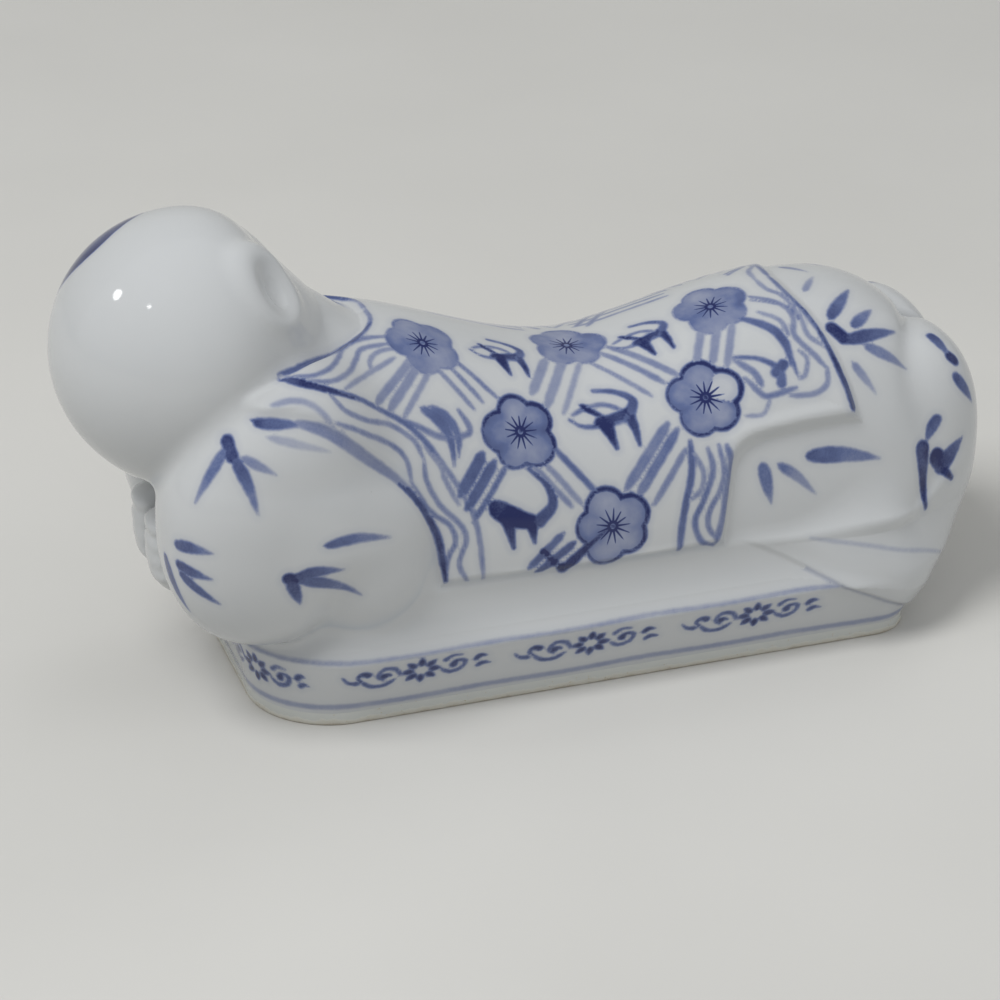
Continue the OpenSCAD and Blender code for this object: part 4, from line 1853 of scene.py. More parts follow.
SLEEVE_STROKES = (
    leaf((-66.4, -25.6, 56.6), (-73.7, -27.8, 48.6), 2, 0.68),
    leaf((-66, -26.4, 55.6), (-64.4, -32.9, 47.2), 2.2, 0.76, 0.6),
    leaf((-65.2, -27.4, 55.6), (-60.6, -30.5, 53.3), 1.7, 0.5),
    leaf((-60.8, -25.9, 57.4), (-51.6, -28.2, 55), 1.5, 0.3),
    leaf((-62.7, -25.5, 61.5), (-54.5, -27.8, 60.3), 2.1, 0.9),
    Stroke(((-56.5, -27.4, 61.2), (-50.6, -28.2, 58.6), (-44.1, -27.4, 52.4),
         (-37.7, -27.7, 46.6), (-34.5, -28.3, 42.5)), 2.3, 0.46, Brush.LEAF),
    Stroke(((-59.5, -25.8, 63), (-56, -26, 63.6), (-53, -26.6, 62.4), (-50, -28, 59.2)), 1.2, 0.32),
    leaf((-77.3, -25.3, 40), (-72, -31, 40.2), 2.3, 0.85, 0.4),
    leaf((-78.2, -21.5, 36.5), (-75, -25, 26.5), 2.6, 0.85),
    leaf((-77.3, -25.3, 36.5), (-72.4, -31, 35.1), 2.2, 0.9),
    leaf((-77, -26, 35.1), (-71.2, -31.1, 30.1), 2, 0.9),
    leaf((-53.5, -34.6, 40.2), (-41, -32.7, 38.9), 1.9, 0.75, 0.8),
    leaf((-59, -34.4, 34.8), (-50, -34.3, 35), 2.2, 0.85, 0.6),
    leaf((-58.6, -34.4, 34.6), (-46.4, -32.2, 28.4), 2.3, 0.8, 1),
    leaf((-59.6, -34.3, 34.8), (-57.6, -33.6, 29), 2.3, 0.95),
    Stroke(((-60, -34.3, 34.9), (-58.6, -34.4, 34.3)), 2.2, 0.98),
    Stroke(((-66.4, -25, 57.6), (-66, -26.6, 54.8)), 2.3, 0.95),
)
TROUSER_STROKES = (
    leaf((39.4, -26.2, 38.8), (53.9, -26.8, 36.4), 3.1, 0.75, 0.5),
    leaf((30.9, -26, 38.6), (32.3, -27.6, 31.1), 2.5, 0.7),
    leaf((33.9, -26.3, 38.1), (41.1, -27.6, 31.5), 1.9, 0.6, 0.6),
    leaf((48.7, -13, 59), (55.6, -6, 61), 2.4, 0.85),
    leaf((52.6, -14.6, 57.5), (58.1, -10.8, 58.6), 2.2, 0.75),
    leaf((50.2, -16.7, 56), (61.6, -13.8, 54.8), 2.7, 0.9),
    leaf((53.9, -17.4, 54.9), (62, -18.7, 49.6), 2.2, 0.6),
    leaf((50.7, -19.5, 52.9), (54.3, -22.8, 47.5), 1.6, 0.5),
    leaf((46.6, 6.1, 61.9), (50.5, 1.1, 62.3), 1.4, 0.45),
    Stroke(((48.4, -14.4, 58.3), (50.6, -16.6, 56.2)), 2.6, 0.95),
    leaf((69, -12.8, 53), (71.4, -17.4, 50), 2.4, 0.85),
    Stroke(((71.4, -17.2, 50), (72.4, -17.4, 49.2)), 2.4, 0.95),
    leaf((71.2, -19.6, 47.5), (75.2, -19.8, 41.5), 2.5, 0.85),
    leaf((67.2, -22.8, 41), (64, -24.3, 36.9), 2.4, 0.85),
    Stroke(((63.2, -25.2, 36), (63, -25.6, 31), (63.2, -25.6, 24.5)), 3.4, 0.88, Brush.TAIL),
    leaf((66.5, -23.9, 30.6), (72.4, -22.9, 36), 3.2, 0.9),
    Stroke(((66.4, -24, 33.4), (67.6, -23.8, 31), (69.4, -23.2, 28.6)), 3.6, 0.95, Brush.TAIL),
    Stroke(((39.6, -29, 23.6), (49.5, -29.5, 21), (57.4, -30.1, 18.6), (67.5, -26, 14.6)),
         0.75, 0.2),
)
FACE_SIDE = (
    Mark(((86, 10), (82.5, 21), (85, 34)), 1.5, 0.8, Brush.LEAF),
    Mark(((99.5, 13), (95.6, 22), (97.5, 34)), 0.95, 0.95),
    Mark(((101.6, 16), (102.6, 23), (100.6, 32)), 0.45, 0.55),
    Mark(((97.6, 22.2), (99.8, 22.2)), 2.3, 0.98),
    Mark(((112.6, 3.4), (112.2, 6.4)), 0.6, 0.6),
)
FACE_MIDDLE = (
    Mark(((122.6, -10.5), (124.2, -4), (123.7, 0), (124.2, 4), (122.6, 10.5)), 0.85, 0.85),
    Mark(((128.6, -3.6), (129.2, 0), (128.6, 3.6)), 0.5, 0.45),
)


@dataclass(frozen=True)
class Painting:
    """All the cobalt painting of the pillow.

    Attributes:
        canvas: Where to paint.
        sprigs: Station, angle and size of each sprig on the vest.
        crescents: The same for the crescents.
        crest: Angle above which a motif isn't repeated on the far side.
        hem_line: Start along X, shift, half width and tone of the line along the hem.
        border_lines: Height, half width and tone of the lines round the plinth.
        border_z: Height of the border's flowers.
        border_first: Place of the first flower of the long side.
        border_rise: Rise of its outer flowers.
        corner: Place and direction of the flower at the corner.
        ends: Place along X and direction of the flowers at the two ends.
        tuft: Direction of the lock of hair.
        tuft_wave: Depth and count of the waves in its outline.
    """

    canvas: Canvas
    near_blossoms: tuple[PlumBlossom, ...] = (
        PlumBlossom(-13.8, 45.0, 8.0, 0.62),
        PlumBlossom(22.0, 47.5, 2.0, 0.6, open_petal=4),
        PlumBlossom(1.4, 14.0, 14.0, 0.52),
    )
    top_blossoms: tuple[PlumBlossom, ...] = tuple(
        PlumBlossom(x, a, turn, outline=0.6, tone=0.62)
        for x, a, turn in ((-28.0, 74.0, 20.0), (1.7, 86.5, -10.0), (28.0, 82.5, 5.0))
    )
    sprigs: tuple[Vec3, ...] = ((2.4, 50.5, 1.0), (-13.9, 76.0, 0.85), (14.7, 80.0, 0.85))
    crescents: tuple[Vec3, ...] = ((-15.6, 19.5, 1.0),)
    crest: float = 70.0
    hem_line: tuple[float, float, float, float] = (26.0, 0.1, 0.36, 0.2)
    border_lines: tuple[Vec3, ...] = ((4.0, 0.6, 0.32), (14.3, 0.34, 0.34))
    border_z: float = 9.9
    border_scale: float = 1.05
    border_first: Span = (-35.2, -31.0)
    border_step: float = 32.0
    border_rise: float = 0.4
    corner: tuple[Span, Vec3] = ((-62.0, -19.0), (0.72, -0.7, 0.0))
    ends: tuple[tuple[float, Vec3], ...] = ((-64.5, (0.0, -1.0, 0.0)), (66.0, (0.0, 1.0, 0.0)))
    tuft: Vec3 = (-0.53, 0.53, 0.66)
    tuft_radius: float = 11.2
    tuft_wave: Span = (0.25, 5.0)
    tuft_tone: float = 0.9

    def paint(self) -> None:
        """Paints everything and lays the strokes."""
        self._vest()
        self.canvas.add(SLEEVE_STROKES, both=True)
        self.canvas.add(TROUSER_STROKES, both=True)
        self._hem()
        self._plinth()
        self._tuft()
        self._face()
        self.canvas.finish()

    def _on(self, *pieces: Piece) -> tuple[Array, Array]:
        skin = self.canvas.skin
        where = np.unique(skin.quads[np.isin(skin.labels, [PIECES.index(p) for p in pieces])])
        return where, skin.verts[where]

    def _vest(self) -> None:
        canvas = self.canvas
        for blossom in self.near_blossoms:
            blossom.paint(canvas)
            replace(blossom, a=180.0 - blossom.a, turn=-blossom.turn).paint(canvas)
        for blossom in self.top_blossoms:
            blossom.paint(canvas)
        canvas.add((mark.over(canvas.figure) for mark in VEST_MARKS), both=True)
        canvas.add(mark.over(canvas.figure) for mark in FAR_BARS)
        for motif, places in ((SPRIG, self.sprigs), (CRESCENT, self.crescents)):
            for x, a, size in places:
                place = canvas.frame_on_body(x, a)
                canvas.add((mark.at(place, size) for mark in motif), both=a < self.crest)

    def _hem(self) -> None:
        where, p = self._on(Piece.HEM, Piece.PLINTH)
        start, shift, half, tone = self.hem_line
        away = np.abs(self.canvas.figure.plinth.hem_side(p) + shift) - half
        self.canvas.line(where, np.where(p[:, 0] < start, self.canvas.far, away), tone)

    def _plinth(self) -> None:
        canvas, z = self.canvas, self.border_z
        where, p = self._on(Piece.PLINTH)
        sway = 0.14 * np.sin(p[:, 0] * 0.21) + 0.1 * np.sin(p[:, 0] * 0.07 + p[:, 1] * 0.2)
        for height, half, tone in self.border_lines:
            canvas.line(where, np.abs(p[:, 2] - height - sway) - half, tone)
        x, y = self.border_first
        places = [
            ((x + self.border_step * k, y, z + self.border_rise * (k - 1) ** 2), (1.0, 0.0, 0.0))
            for k in range(3)
        ]
        places.append(((*self.corner[0], z), self.corner[1]))
        places += [((x, 0.0, z), along) for x, along in self.ends]
        for anchor, along in places:
            place = canvas.frame_at(anchor, along)
            marks = (mark.at(place, self.border_scale) for mark in (*BORDER_FLOWER, *BORDER_SCROLL))
            canvas.add(marks, both=anchor[1] != 0.0)

    def _tuft(self) -> None:
        where, p = self._on(Piece.HEAD)
        head, tuft = self.canvas.figure.head, unit(np.array(self.tuft))
        q, up = unit(p - np.array(head.at)), np.array([0.0, 0.0, 1.0])
        away = np.arccos(np.clip(q @ tuft, -1.0, 1.0)) * head.radius
        turn = np.arctan2(q @ np.cross(tuft, up), q @ up - self.tuft[2] * (q @ tuft))
        depth, count = self.tuft_wave
        rim = self.tuft_radius + depth * np.sin(count * turn)
        self.canvas.line(where, away - rim, self.tuft_tone)

    def _face(self) -> None:
        head = self.canvas.figure.head
        for side in Side:
            self.canvas.add(mark.on_face(head, side) for mark in FACE_SIDE)
        self.canvas.add(mark.on_face(head) for mark in FACE_MIDDLE)


# ---------------------------------------------------------------- materials


def srgb(red: int, green: int, blue: int) -> Color:
    """Scene-linear colour of a display colour.

    Args:
        red: 0 to 255.
        green: 0 to 255.
        blue: 0 to 255.

    Returns:
        Linear RGBA.
    """
    shares = (c / 255.0 for c in (red, green, blue))
    return (*(c / 12.92 if c <= 0.04045 else ((c + 0.055) / 1.055) ** 2.4 for c in shares), 1.0)


class Graph:
    """Node tree that is built from expressions."""

    def __init__(self, tree: bpy.types.NodeTree) -> None:
        """Empties a tree.

        Args:
            tree: The tree to build in.
        """
        self.tree = tree
        tree.nodes.clear()

    def node(self, kind: str, sockets: dict | None = None, **settings: object) -> bpy.types.Node:
        """Adds a node.

        Args:
            kind: Type name of the node.
            sockets: What feeds its inputs, by name or index.
            settings: Properties to set.

        Returns:
            The node.
        """
        node = self.tree.nodes.new(kind)
        for name, value in settings.items():
            setattr(node, name, value)
        for name, value in (sockets or {}).items():
            self.feed(node.inputs[name], value)
        return node

    def feed(self, socket: bpy.types.NodeSocket, value: object) -> None:
        """Links or sets an input.

        Args:
            socket: The input.
            value: A Value or a node to link, or a constant.
        """
        if isinstance(value, bpy.types.Node):
            value = self.out(value)
        if isinstance(value, Value):
            self.tree.links.new(value.socket, socket)
        else:
            socket.default_value = value

    def out(self, node: bpy.types.Node, name: str | int = 0) -> "Value":
        """Output of a node.

        Args:
            node: The node.
            name: Name or index of the output.

        Returns:
            The value.
        """
        return Value(self, node.outputs[name])

    def vector(self, **parts: object) -> bpy.types.Node:
        """Vector from its parts.

        Args:
            parts: What feeds X, Y and Z; parts left out are 0.

        Returns:
            The node.
        """
        return self.node("ShaderNodeCombineXYZ", parts)

    def height(self, where: object) -> "Value":
        """Height of a point.

        Args:
            where: The point.

        Returns:
            Its Z.
        """
        return self.out(self.node("ShaderNodeSeparateXYZ", {0: where}), "Z")

    def join(self, *parts: bpy.types.Node) -> bpy.types.Node:
        """Joins geometry.

        Args:
            parts: Nodes that give the geometry.

        Returns:
            The node.
        """
        node = self.node("GeometryNodeJoinGeometry")
        for part in parts:
            self.feed(node.inputs[0], part)
        return node

    def mix(self, low: object, high: object, share: object) -> "Value":
        """Mixes two colours.

        Args:
            low: Colour at share 0.
            high: Colour at share 1.
            share: Factor.

        Returns:
            The colour.
        """
        node = self.node("ShaderNodeMix", data_type="RGBA")
        for index, value in ((0, share), (6, low), (7, high)):
            self.feed(node.inputs[index], value)
        return self.out(node, 2)

    def noise(self, where: "Value", scale: float, detail: float = 2.0) -> "Value":
        """Noise between 0 and 1.

        Args:
            where: Coordinates.
            scale: Features a metre.
            detail: Octaves.

        Returns:
            The noise.
        """
        sockets = {"Vector": where, "Scale": scale, "Detail": detail, "Roughness": 0.5}
        return self.out(self.node("ShaderNodeTexNoise", sockets), "Fac")

    def bump(self, height: "Value", strength: float, depth: float) -> bpy.types.Node:
        """Normal that is disturbed by a height.

        Args:
            height: The height, 0 to 1.
            strength: Share of the effect.
            depth: Height 1, in metres.

        Returns:
            The node.
        """
        sockets = {"Strength": strength, "Distance": depth, "Height": height}
        return self.node("ShaderNodeBump", sockets)

    def mark(self, name: str) -> "Value":
        """Vertex attribute.

        Args:
            name: Name of the attribute.

        Returns:
            Its value.
        """
        return self.out(self.node("ShaderNodeAttribute", attribute_name=name), "Fac")


@dataclass(frozen=True)
class Value:
    """Output socket with arithmetic."""

    graph: Graph
    socket: bpy.types.NodeSocket

    def _math(self, kind: str, *terms: object, clamp: bool = False) -> "Value":
        sockets = dict(enumerate(terms))
        node = self.graph.node("ShaderNodeMath", sockets, operation=kind, use_clamp=clamp)
        return self.graph.out(node)

    def __add__(self, other: object) -> "Value":
        """Sum."""
        return self._math("ADD", self, other)

    def __radd__(self, other: object) -> "Value":
        """Sum, reflected."""
        return self._math("ADD", other, self)

    def __sub__(self, other: object) -> "Value":
        """Difference."""
        return self._math("SUBTRACT", self, other)

    def __rsub__(self, other: object) -> "Value":
        """Difference, reflected."""
        return self._math("SUBTRACT", other, self)

    def __mul__(self, other: object) -> "Value":
        """Product."""
        return self._math("MULTIPLY", self, other)

    def __truediv__(self, other: object) -> "Value":
        """Quotient."""
        return self._math("DIVIDE", self, other)

    def apply(self, kind: str, *others: object) -> "Value":
        """Any other operation of the Math node.

        Args:
            kind: Name of the operation.
            others: Further terms.

        Returns:
            The result.
        """
        return self._math(kind, self, *others)

    def clamped(self) -> "Value":
        """Value kept between 0 and 1.

        Returns:
            The clamped value.
        """
        return self._math("ADD", self, 0.0, clamp=True)

    def below(self, edge: object, soft: float) -> "Value":
        """Soft step that is 1 below an edge and 0 above it.

        Args:
            edge: Where the step is.
            soft: Width of the step.

        Returns:
            Share between 0 and 1.
        """
        return ((edge - self) / soft + 0.5).clamped()


@dataclass(frozen=True)
class Finish:
    """Surface of a piece, as a node material.

    Attributes:
        name: Name of the material.
    """

    name: str

    def build(self) -> bpy.types.Material:
        """Builds the material.

        Returns:
            The material.
        """
        material = bpy.data.materials.new(self.name)
        material.use_nodes = True
        g = Graph(material.node_tree)
        sockets = self.sockets(g, g.out(g.node("ShaderNodeTexCoord"), "Object"))
        shader = g.node("ShaderNodeBsdfPrincipled", sockets)
        g.node("ShaderNodeOutputMaterial", {"Surface": shader})
        return material

    def sockets(self, g: Graph, where: Value) -> dict[str, object]:
        """Inputs of the principled shader, which each finish gives.

        Args:
            g: The graph of the material.
            where: Place on the object, in metres.

        Returns:
            The inputs by name.
        """
        raise NotImplementedError


@dataclass(frozen=True)
class Glaze(Finish):
    """Clear porcelain glaze over cobalt painting.

    Attributes:
        white: Colour of the glaze.
        pool: Colour where the glaze gathers in creases.
        ramp: Thin, usual and heaped cobalt: colour, the tone where it starts, and its gain.
        speck: Colour of the iron specks.
        bleed: Strength of the blue haze round the painting.
        stamens: Number of stamens of a blossom.
        heart: Radius of the ring that they grow from.
    """

    white: Color = srgb(184, 186, 187)
    pool: Color = srgb(160, 168, 178)
    ramp: tuple[tuple[Color, float, float], ...] = (
        (srgb(141, 147, 166), 0.0, 3.2),
        (srgb(88, 101, 141), 0.3, 3.2),
        (srgb(24, 34, 84), 0.6, 2.6),
    )
    speck: Color = srgb(70, 58, 48)
    bleed: float = 0.1
    roughness: float = 0.07
    stamens: int = 13
    heart: float = 0.8

    def sockets(self, g: Graph, where: Value) -> dict[str, object]:
        """See Finish.sockets."""
        ragged, cloud = g.noise(where, 700.0), g.noise(where, 230.0, 3.0)
        grain, peel = g.noise(where, 2600.0, 1.0), g.noise(where, 170.0, 1.0)
        ink = g.mark("ink") + (ragged - 0.5) * 0.34
        line = ink.below(0.0, 0.7) * g.mark("tone") * (0.62 + cloud * 0.6 + (grain - 0.5) * 0.22)
        rim = 1.0 - (ink + 0.16).below(0.0, 0.3)
        line = line * (1.0 + rim * ink.below(0.0, 0.2) * 0.18)
        wash = g.mark("wash") + (ragged - 0.5) * 0.5
        tint = wash.below(0.0, 0.5) * g.mark("wash_tone") * (0.45 + cloud * 0.95)
        haze = ink.below(0.7, 1.6) * g.mark("tone") * self.bleed
        line = line.apply("MAXIMUM", self._stamens(g, ragged))
        cobalt = line.apply("MAXIMUM", tint) + haze
        gathered = (g.mark("pool") * 0.75 + (cloud - 0.5) * 0.14).clamped()
        color = g.mix(self.white, self.pool, gathered)
        for ink_color, start, gain in self.ramp:
            color = g.mix(color, ink_color, ((cobalt - start) * gain).clamped())
        cells = g.node("ShaderNodeTexVoronoi", {"Vector": where, "Scale": 55.0})
        spot = g.out(cells, "Distance").below(0.013, 0.006) * 0.8
        return {
            "Base Color": g.mix(color, self.speck, spot),
            "Roughness": self.roughness + (grain - 0.5) * 0.03 + cobalt * 0.03,
            "Normal": g.bump(peel, 0.12, 0.0004),
            "IOR": 1.5,
        }

    def _stamens(self, g: Graph, ragged: Value) -> Value:
        u, v = g.mark("bloom_u"), g.mark("bloom_v")
        r = (u * u + v * v).apply("SQRT")
        pitch = 2.0 * math.pi / self.stamens
        off = (v.apply("ARCTAN2", u) * (1.0 / pitch)).apply("PINGPONG", 0.5) * pitch * r
        ray = off.below(0.3 - r * 0.05, 0.2) * r.below(2.3 + ragged * 2.0, 0.8)
        ray = ray * (1.0 - r.below(0.9, 0.3))
        ring = (r - self.heart).apply("ABSOLUTE").below(0.34, 0.2)
        return ring.apply("MAXIMUM", ray) * g.mark("bloom").below(4.8, 0.4) * 0.92


@dataclass(frozen=True)
class Biscuit(Finish):
    """Foot rim: thin glaze that gives way to bare clay with firing tan near the floor."""

    clay: Color = srgb(186, 184, 174)
    glaze: Color = srgb(184, 186, 182)
    tan: Color = srgb(138, 122, 98)

    def sockets(self, g: Graph, where: Value) -> dict[str, object]:
        """See Finish.sockets."""
        height = g.height(where) * (1.0 / MM)
        ragged, fine = g.noise(where, 420.0, 3.0), g.noise(where, 3800.0, 2.0)
        bare = (height + (ragged - 0.5) * 1.6).below(1.0, 0.5)
        tan = (height + (ragged - 0.5) * 1.2).below(0.35, 0.4) * 0.55
        tan = (tan + (fine - 0.62) * bare * 0.5).clamped()
        return {
            "Base Color": g.mix(g.mix(self.glaze, self.clay, bare), self.tan, tan),
            "Roughness": 0.16 + bare * 0.55,
            "Normal": g.bump(fine * bare, 0.35, 0.0003),
        }


@dataclass(frozen=True)
class Matte(Finish):
    """Mottled surface without shine, as of kiln sand or of the studio.

    Attributes:
        color: Main colour.
        other: Colour of the clouds in it.
        scale: Clouds a metre.
        detail: Octaves of the clouds.
        share: Strength of the clouds.
        roughness: Roughness of the surface.
    """

    color: Color
    other: Color
    scale: float
    detail: float
    share: float
    roughness: float

    def sockets(self, g: Graph, where: Value) -> dict[str, object]:
        """See Finish.sockets."""
        clouds = g.noise(where, self.scale, self.detail) * self.share
        return {"Base Color": g.mix(self.color, self.other, clouds), "Roughness": self.roughness}


CLEAR = Glaze("clear_glaze")
COBALT = Glaze("cobalt_glaze", bleed=0.14)
BISCUIT = Biscuit("biscuit")
GRIT = Matte("kiln_grit", srgb(150, 136, 112), srgb(196, 190, 176), 900.0, 2.0, 1.0, 0.75)
FLOOR = Matte("studio_floor", srgb(193, 192, 188), srgb(214, 213, 209), 9.0, 3.0, 0.5, 0.8)


# ---------------------------------------------------------------- foot slab


@dataclass(frozen=True)
class FootSlab:
    """Foot rim and floor plate, swept round the plan of the plinth, with kiln grit on the rim.

    Attributes:
        plinth: The plinth that it closes.
        grit_density: Grains on a square metre.
        grit_band: Lower and upper height of the grains.
        grit_size: Least and greatest size of a grain, in grit radii.
        arc: Steps in a quarter turn of the plan.
    """

    plinth: PlinthForm
    ring_width: float = 5.0
    ring_height: float = 3.6
    ring_round: float = 0.35
    round_steps: int = 4
    plate_low: float = 1.5
    plate_thick: float = 1.8
    vent_x: float = 18.0
    vent_radius: float = 3.5
    vent_steps: int = 48
    grit_density: float = 400000.0
    grit_radius: float = 0.1
    grit_band: Span = (0.3, 1.2)
    grit_size: Span = (0.5, 1.3)
    seed: int = 7
    arc: int = 24

    def outline(self, inset: float) -> Array:
        """Plan of the foot.

        Args:
            inset: Distance inside the plan.

        Returns:
            Points round the plan, anticlockwise from above.
        """
        form, points = self.plinth, []
        for sx, sy, start in ((1, -1, -90.0), (1, 1, 0.0), (-1, 1, 90.0), (-1, -1, 180.0)):
            r = form.feet_corner if sx > 0 else form.head_corner
            cx, cy = sx * (form.length / 2 - r), sy * (form.width / 2 - r)
            for k in range(self.arc + 1):
                a = math.radians(start + 90.0 * k / self.arc)
                points.append((cx + (r - inset) * math.cos(a), cy + (r - inset) * math.sin(a), 0.0))
        return np.array(points)

    def inputs(self) -> dict[str, float | int]:
        """Inputs of the node group.

        Returns:
            Values by name, with lengths in metres.
        """
        lengths = {
            "Ring Width": self.ring_width,
            "Ring Height": self.ring_height,
            "Ring Round": self.ring_round,
            "Plate Low": self.plate_low,
            "Plate Thickness": self.plate_thick,
            "Vent X": self.vent_x,
            "Vent Radius": self.vent_radius,
            "Grit Radius": self.grit_radius,
            "Grit Low": self.grit_band[0],
            "Grit Top": self.grit_band[1],
        }
        metres = {name: length * MM for name, length in lengths.items()}
        return {**metres, "Grit Density": self.grit_density, "Seed": self.seed}

    def _group(self, clay: bpy.types.Material, grit: bpy.types.Material) -> bpy.types.NodeTree:
        group = bpy.data.node_groups.new("foot_slab", "GeometryNodeTree")
        g, face, shape = Graph(group), group.interface, "NodeSocketGeometry"
        face.new_socket("Geometry", in_out="INPUT", socket_type=shape)
        for name, value in self.inputs().items():
            kind = "NodeSocketInt" if isinstance(value, int) else "NodeSocketFloat"
            face.new_socket(name, in_out="INPUT", socket_type=kind)
        face.new_socket("Geometry", in_out="OUTPUT", socket_type=shape)
        given = g.node("NodeGroupInput")
        value = {socket.name: g.out(given, k) for k, socket in enumerate(given.outputs)}
        path = g.node("GeometryNodeMeshToCurve", {"Mesh": value["Geometry"]})
        ring = self._ring(g, value, path)
        solid = g.join(ring, self._plate(g, value, path))
        fired = g.node("GeometryNodeSetMaterial", {"Geometry": solid, "Material": clay})
        sand = {"Geometry": self._grains(g, value, ring), "Material": grit}
        whole = g.join(fired, g.node("GeometryNodeSetMaterial", sand))
        g.node("NodeGroupOutput", {"Geometry": whole})
        return group

    def _ring(self, g: Graph, value: dict[str, Value], path: bpy.types.Node) -> bpy.types.Node:
        size = {"Width": value["Ring Width"], "Height": value["Ring Height"]}
        quad = g.node("GeometryNodeCurvePrimitiveQuadrilateral", size)
        lift = g.vector(Y=value["Ring Height"] * -0.5)
        moved = g.node("GeometryNodeSetPosition", {"Geometry": quad, "Offset": lift})
        corners = {"Curve": moved, "Count": self.round_steps, "Radius": value["Ring Round"]}
        profile = g.node("GeometryNodeFilletCurve", corners, mode="POLY")
        return g.node("GeometryNodeCurveToMesh", {"Curve": path, "Profile Curve": profile})

    def _plate(self, g: Graph, value: dict[str, Value], path: bpy.types.Node) -> bpy.types.Node:
        size = {"Resolution": self.vent_steps, "Radius": value["Vent Radius"]}
        circle = g.node("GeometryNodeCurvePrimitiveCircle", size)
        shift = {"Geometry": circle, "Translation": g.vector(X=value["Vent X"])}
        vent = g.node("GeometryNodeTransform", shift)
        flat = g.node("GeometryNodeFillCurve", {"Curve": g.join(path, vent)})
        rise = {"Mesh": flat, "Offset Scale": value["Plate Thickness"], "Individual": False}
        risen = g.node("GeometryNodeExtrudeMesh", rise)
        plate = g.join(risen, g.node("GeometryNodeFlipFaces", {"Mesh": flat}))
        sealed = g.node("GeometryNodeMergeByDistance", {"Geometry": plate, "Distance": 1e-6})
        base = {"Geometry": sealed, "Translation": g.vector(Z=value["Plate Low"])}
        return g.node("GeometryNodeTransform", base)

    def _grains(self, g: Graph, value: dict[str, Value], ring: bpy.types.Node) -> bpy.types.Node:
        z = g.height(g.node("GeometryNodeInputPosition"))
        band = z.below(value["Grit Top"], 1e-4) - z.below(value["Grit Low"], 1e-4)
        sown = {"Mesh": ring, "Selection": band, "Density": value["Grit Density"]}
        points = g.node("GeometryNodeDistributePointsOnFaces", {**sown, "Seed": value["Seed"]})
        ball = {"Radius": value["Grit Radius"], "Subdivisions": 1}
        low, high = self.grit_size
        size = g.node("FunctionNodeRandomValue", {2: low, 3: high, "Seed": value["Seed"]})
        grains = {
            "Points": points,
            "Instance": g.node("GeometryNodeMeshIcoSphere", ball),
            "Scale": g.out(size, 1),
        }
        placed = g.node("GeometryNodeInstanceOnPoints", grains)
        return g.node("GeometryNodeRealizeInstances", {"Geometry": placed})

    def build(self, clay: bpy.types.Material, grit: bpy.types.Material) -> bpy.types.Object:
        """Builds the slab.

        Args:
            clay: Material of the rim and the plate.
            grit: Material of the grains.

        Returns:
            The slab as a plain mesh.
        """
        middle = self.outline(self.ring_width / 2) * MM
        mesh, count = bpy.data.meshes.new("foot_path"), len(middle)
        mesh.from_pydata(middle.tolist(), [(k, (k + 1) % count) for k in range(count)], [])
        obj = linked(bpy.data.objects.new("foot_path", mesh))
        modifier = obj.modifiers.new("foot_slab", "NODES")
        modifier.node_group = self._group(clay, grit)
        values = self.inputs()
        for item in modifier.node_group.interface.items_tree:
            if item.in_out == "INPUT" and item.name in values:
                modifier[item.identifier] = values[item.name]
        bpy.context.view_layer.update()
        graph = bpy.context.evaluated_depsgraph_get()
        plain = bpy.data.meshes.new_from_object(obj.evaluated_get(graph), depsgraph=graph)
        if plain.materials and plain.materials[0] is None:
            index = np.empty(len(plain.polygons), np.int32)
            plain.polygons.foreach_get("material_index", index)
            plain.materials.pop(index=0)
            plain.polygons.foreach_set("material_index", np.maximum(index - 1, 0))
        bpy.data.objects.remove(obj)
        return linked(bpy.data.objects.new("base_slab_visual", plain))


# ---------------------------------------------------------------- studio


def aimed(obj: bpy.types.Object, at: Vector, target: Vector) -> bpy.types.Object:
    """Puts a lamp or camera into the scene.

    Args:
        obj: The object.
        at: Its place in metres.
        target: Where it points.

    Returns:
        The same object.
    """
    obj.location = at
    obj.rotation_euler = (target - at).to_track_quat("-Z", "Y").to_euler()
    return linked(obj)


@dataclass(frozen=True)
class Softbox:
    """Soft lamp.

    Attributes:
        name: Name of the lamp.
        at: Place in metres.
        size: Diameter of the lamp in metres.
        power: Watts.
        mirrored: Whether the glaze reflects the lamp itself.
    """

    name: str
    at: Vec3
    size: float
    power: float
    mirrored: bool = False

    def build(self, target: Vector) -> None:
        """Hangs the lamp.

        Args:
            target: Where it points.
        """
        lamp = bpy.data.lights.new(self.name, "AREA")
        lamp.shape, lamp.size, lamp.energy = "DISK", self.size, self.power
        obj = aimed(bpy.data.objects.new(self.name, lamp), Vector(self.at), target)
        obj.visible_glossy = self.mirrored


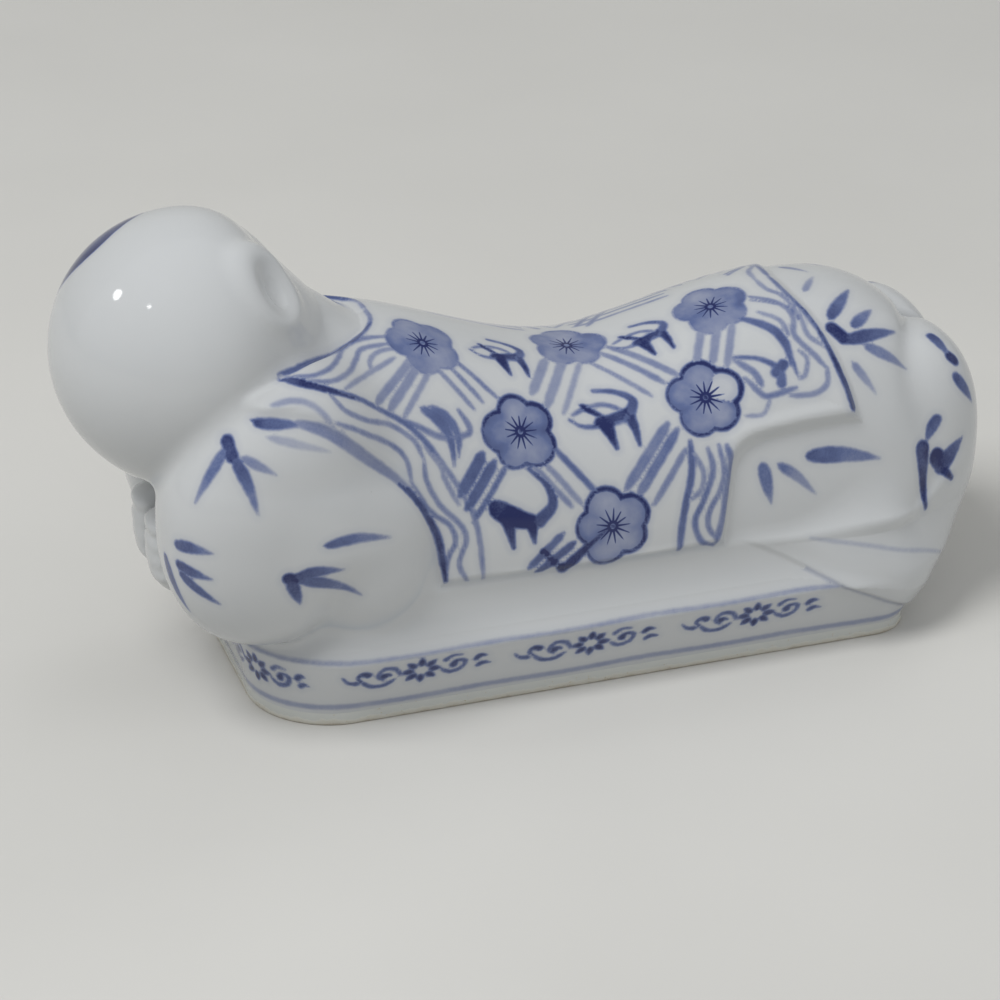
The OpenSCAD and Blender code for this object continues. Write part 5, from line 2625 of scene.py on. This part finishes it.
@dataclass(frozen=True)
class Studio:
    """Pale floor that sweeps up into a backdrop, soft lamps and the camera of the photograph."""

    target: Vec3 = (-15.6, -16.2, 34.0)
    eye: Vec3 = (-186.1, -522.9, 306.4)
    lens: float = 120.5
    sensor: float = 36.0
    sweep_start: float = 900.0
    sweep_radius: float = 500.0
    sweep_steps: int = 16
    half: float = 2500.0
    lamps: tuple[Softbox, ...] = (
        Softbox("key", (-0.6, -0.2, 1.05), 0.6, 9.4),
        Softbox("fill", (0.9, -0.7, 0.7), 0.8, 2.6),
        Softbox("back", (0.9, 0.9, 1.1), 0.7, 3.0),
        Softbox("glint", (-0.96, 0.2, 0.85), 0.15, 0.8, True),
        Softbox("front", (-0.25, -1.2, 0.18), 0.7, 1.3),
        Softbox("spark", (-0.64, -0.31, 0.84), 0.045, 0.09, True),
    )
    world: Color = (0.4, 0.41, 0.42, 1.0)

    def build(self) -> None:
        """Sets up floor, lamps, world and camera."""
        floor = self._floor()
        floor.data.materials.append(FLOOR.build())
        scene, target = bpy.context.scene, Vector(self.target) * MM
        for lamp in self.lamps:
            lamp.build(target)
        scene.world = bpy.data.worlds.new("studio")
        scene.world.use_nodes = True
        g = Graph(scene.world.node_tree)
        background = g.node("ShaderNodeBackground", {"Color": self.world})
        g.node("ShaderNodeOutputWorld", {"Surface": background})
        data = bpy.data.cameras.new("camera")
        data.lens, data.sensor_width, data.sensor_fit = self.lens, self.sensor, "HORIZONTAL"
        eye = Vector(self.eye) * MM
        scene.camera = aimed(bpy.data.objects.new("camera", data), eye, target)
        scene.view_settings.view_transform = "Standard"

    def _floor(self) -> bpy.types.Object:
        line = [(-self.half, 0.0)]
        for k in range(self.sweep_steps + 1):
            a = math.radians(90.0 * k / self.sweep_steps)
            y = self.sweep_start + self.sweep_radius * math.sin(a)
            line.append((y, self.sweep_radius * (1.0 - math.cos(a))))
        line.append((line[-1][0], self.half))
        verts = [(x, y, z) for y, z in line for x in (-self.half, self.half)]
        faces = [(2 * k, 2 * k + 1, 2 * k + 3, 2 * k + 2) for k in range(len(line) - 1)]
        return new_object("studio_floor", np.array(verts), np.array(faces))


# ---------------------------------------------------------------- the pillow


@dataclass(frozen=True)
class Pillow:
    """The whole pillow, piece by piece.

    Attributes:
        figure: The field of the glazed pieces.
        pool_depth: Depth of a crease that is full of glaze.
        pool_z: Heights between which pools fade out.
        pool_x: Places along the pillow between which they fade out.
        pool_ear: Distances from the ear between which they fade in.
    """

    figure: Figure = Figure()
    pool_depth: float = 0.7
    pool_z: Span = (43.0, 52.0)
    pool_x: Span = (26.0, 38.0)
    pool_ear: Span = (0.5, 5.0)

    def build(self) -> None:
        """Builds, paints and registers every piece."""
        skin = SkinMesher(self.figure).build()
        canvas = Canvas(self.figure, skin)
        Painting(canvas).paint()
        canvas.marks["pool"] = self._pools(skin)
        finishes = {finish: finish.build() for finish in (CLEAR, COBALT)}
        for piece in PIECES:
            obj, used = ShellBuilder().build(skin, piece)
            self._mark(obj, canvas, used)
            finish = COBALT if piece is Piece.VEST else CLEAR
            obj.data.materials.append(finishes[finish])
            self._register(obj, piece.value)
        slab = FootSlab(self.figure.plinth).build(BISCUIT.build(), GRIT.build())
        self._register(slab, "base_slab")

    def _pools(self, skin: Skin) -> Array:
        parts = self.figure.parts(skin.verts)
        by_ear = ease(parts[:, PIECES.index(Piece.EAR)], *self.pool_ear)
        low = 1.0 - ease(skin.verts[:, 2], *self.pool_z)
        front = 1.0 - ease(skin.verts[:, 0], *self.pool_x)
        return low * front * by_ear * np.clip(parts.min(axis=1) / self.pool_depth, 0.0, 1.0)

    def _mark(self, obj: bpy.types.Object, canvas: Canvas, used: Array) -> None:
        for name, values in canvas.marks.items():
            column = np.concatenate([values[used], np.full(len(used), canvas.bare(name))])
            data = obj.data.attributes.new(name, "FLOAT", "POINT").data
            data.foreach_set("value", column.astype(np.float32))

    def _register(self, obj: bpy.types.Object, node: str) -> None:
        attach(obj, "root")
        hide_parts(node)
        LOG.info("%s: %d faces", node, len(obj.data.polygons))


def main() -> None:
    """Builds the pillow and its studio in order."""
    logging.basicConfig(level=logging.INFO)
    Pillow().build()
    Studio().build()


if __name__ == "__main__":
    main()
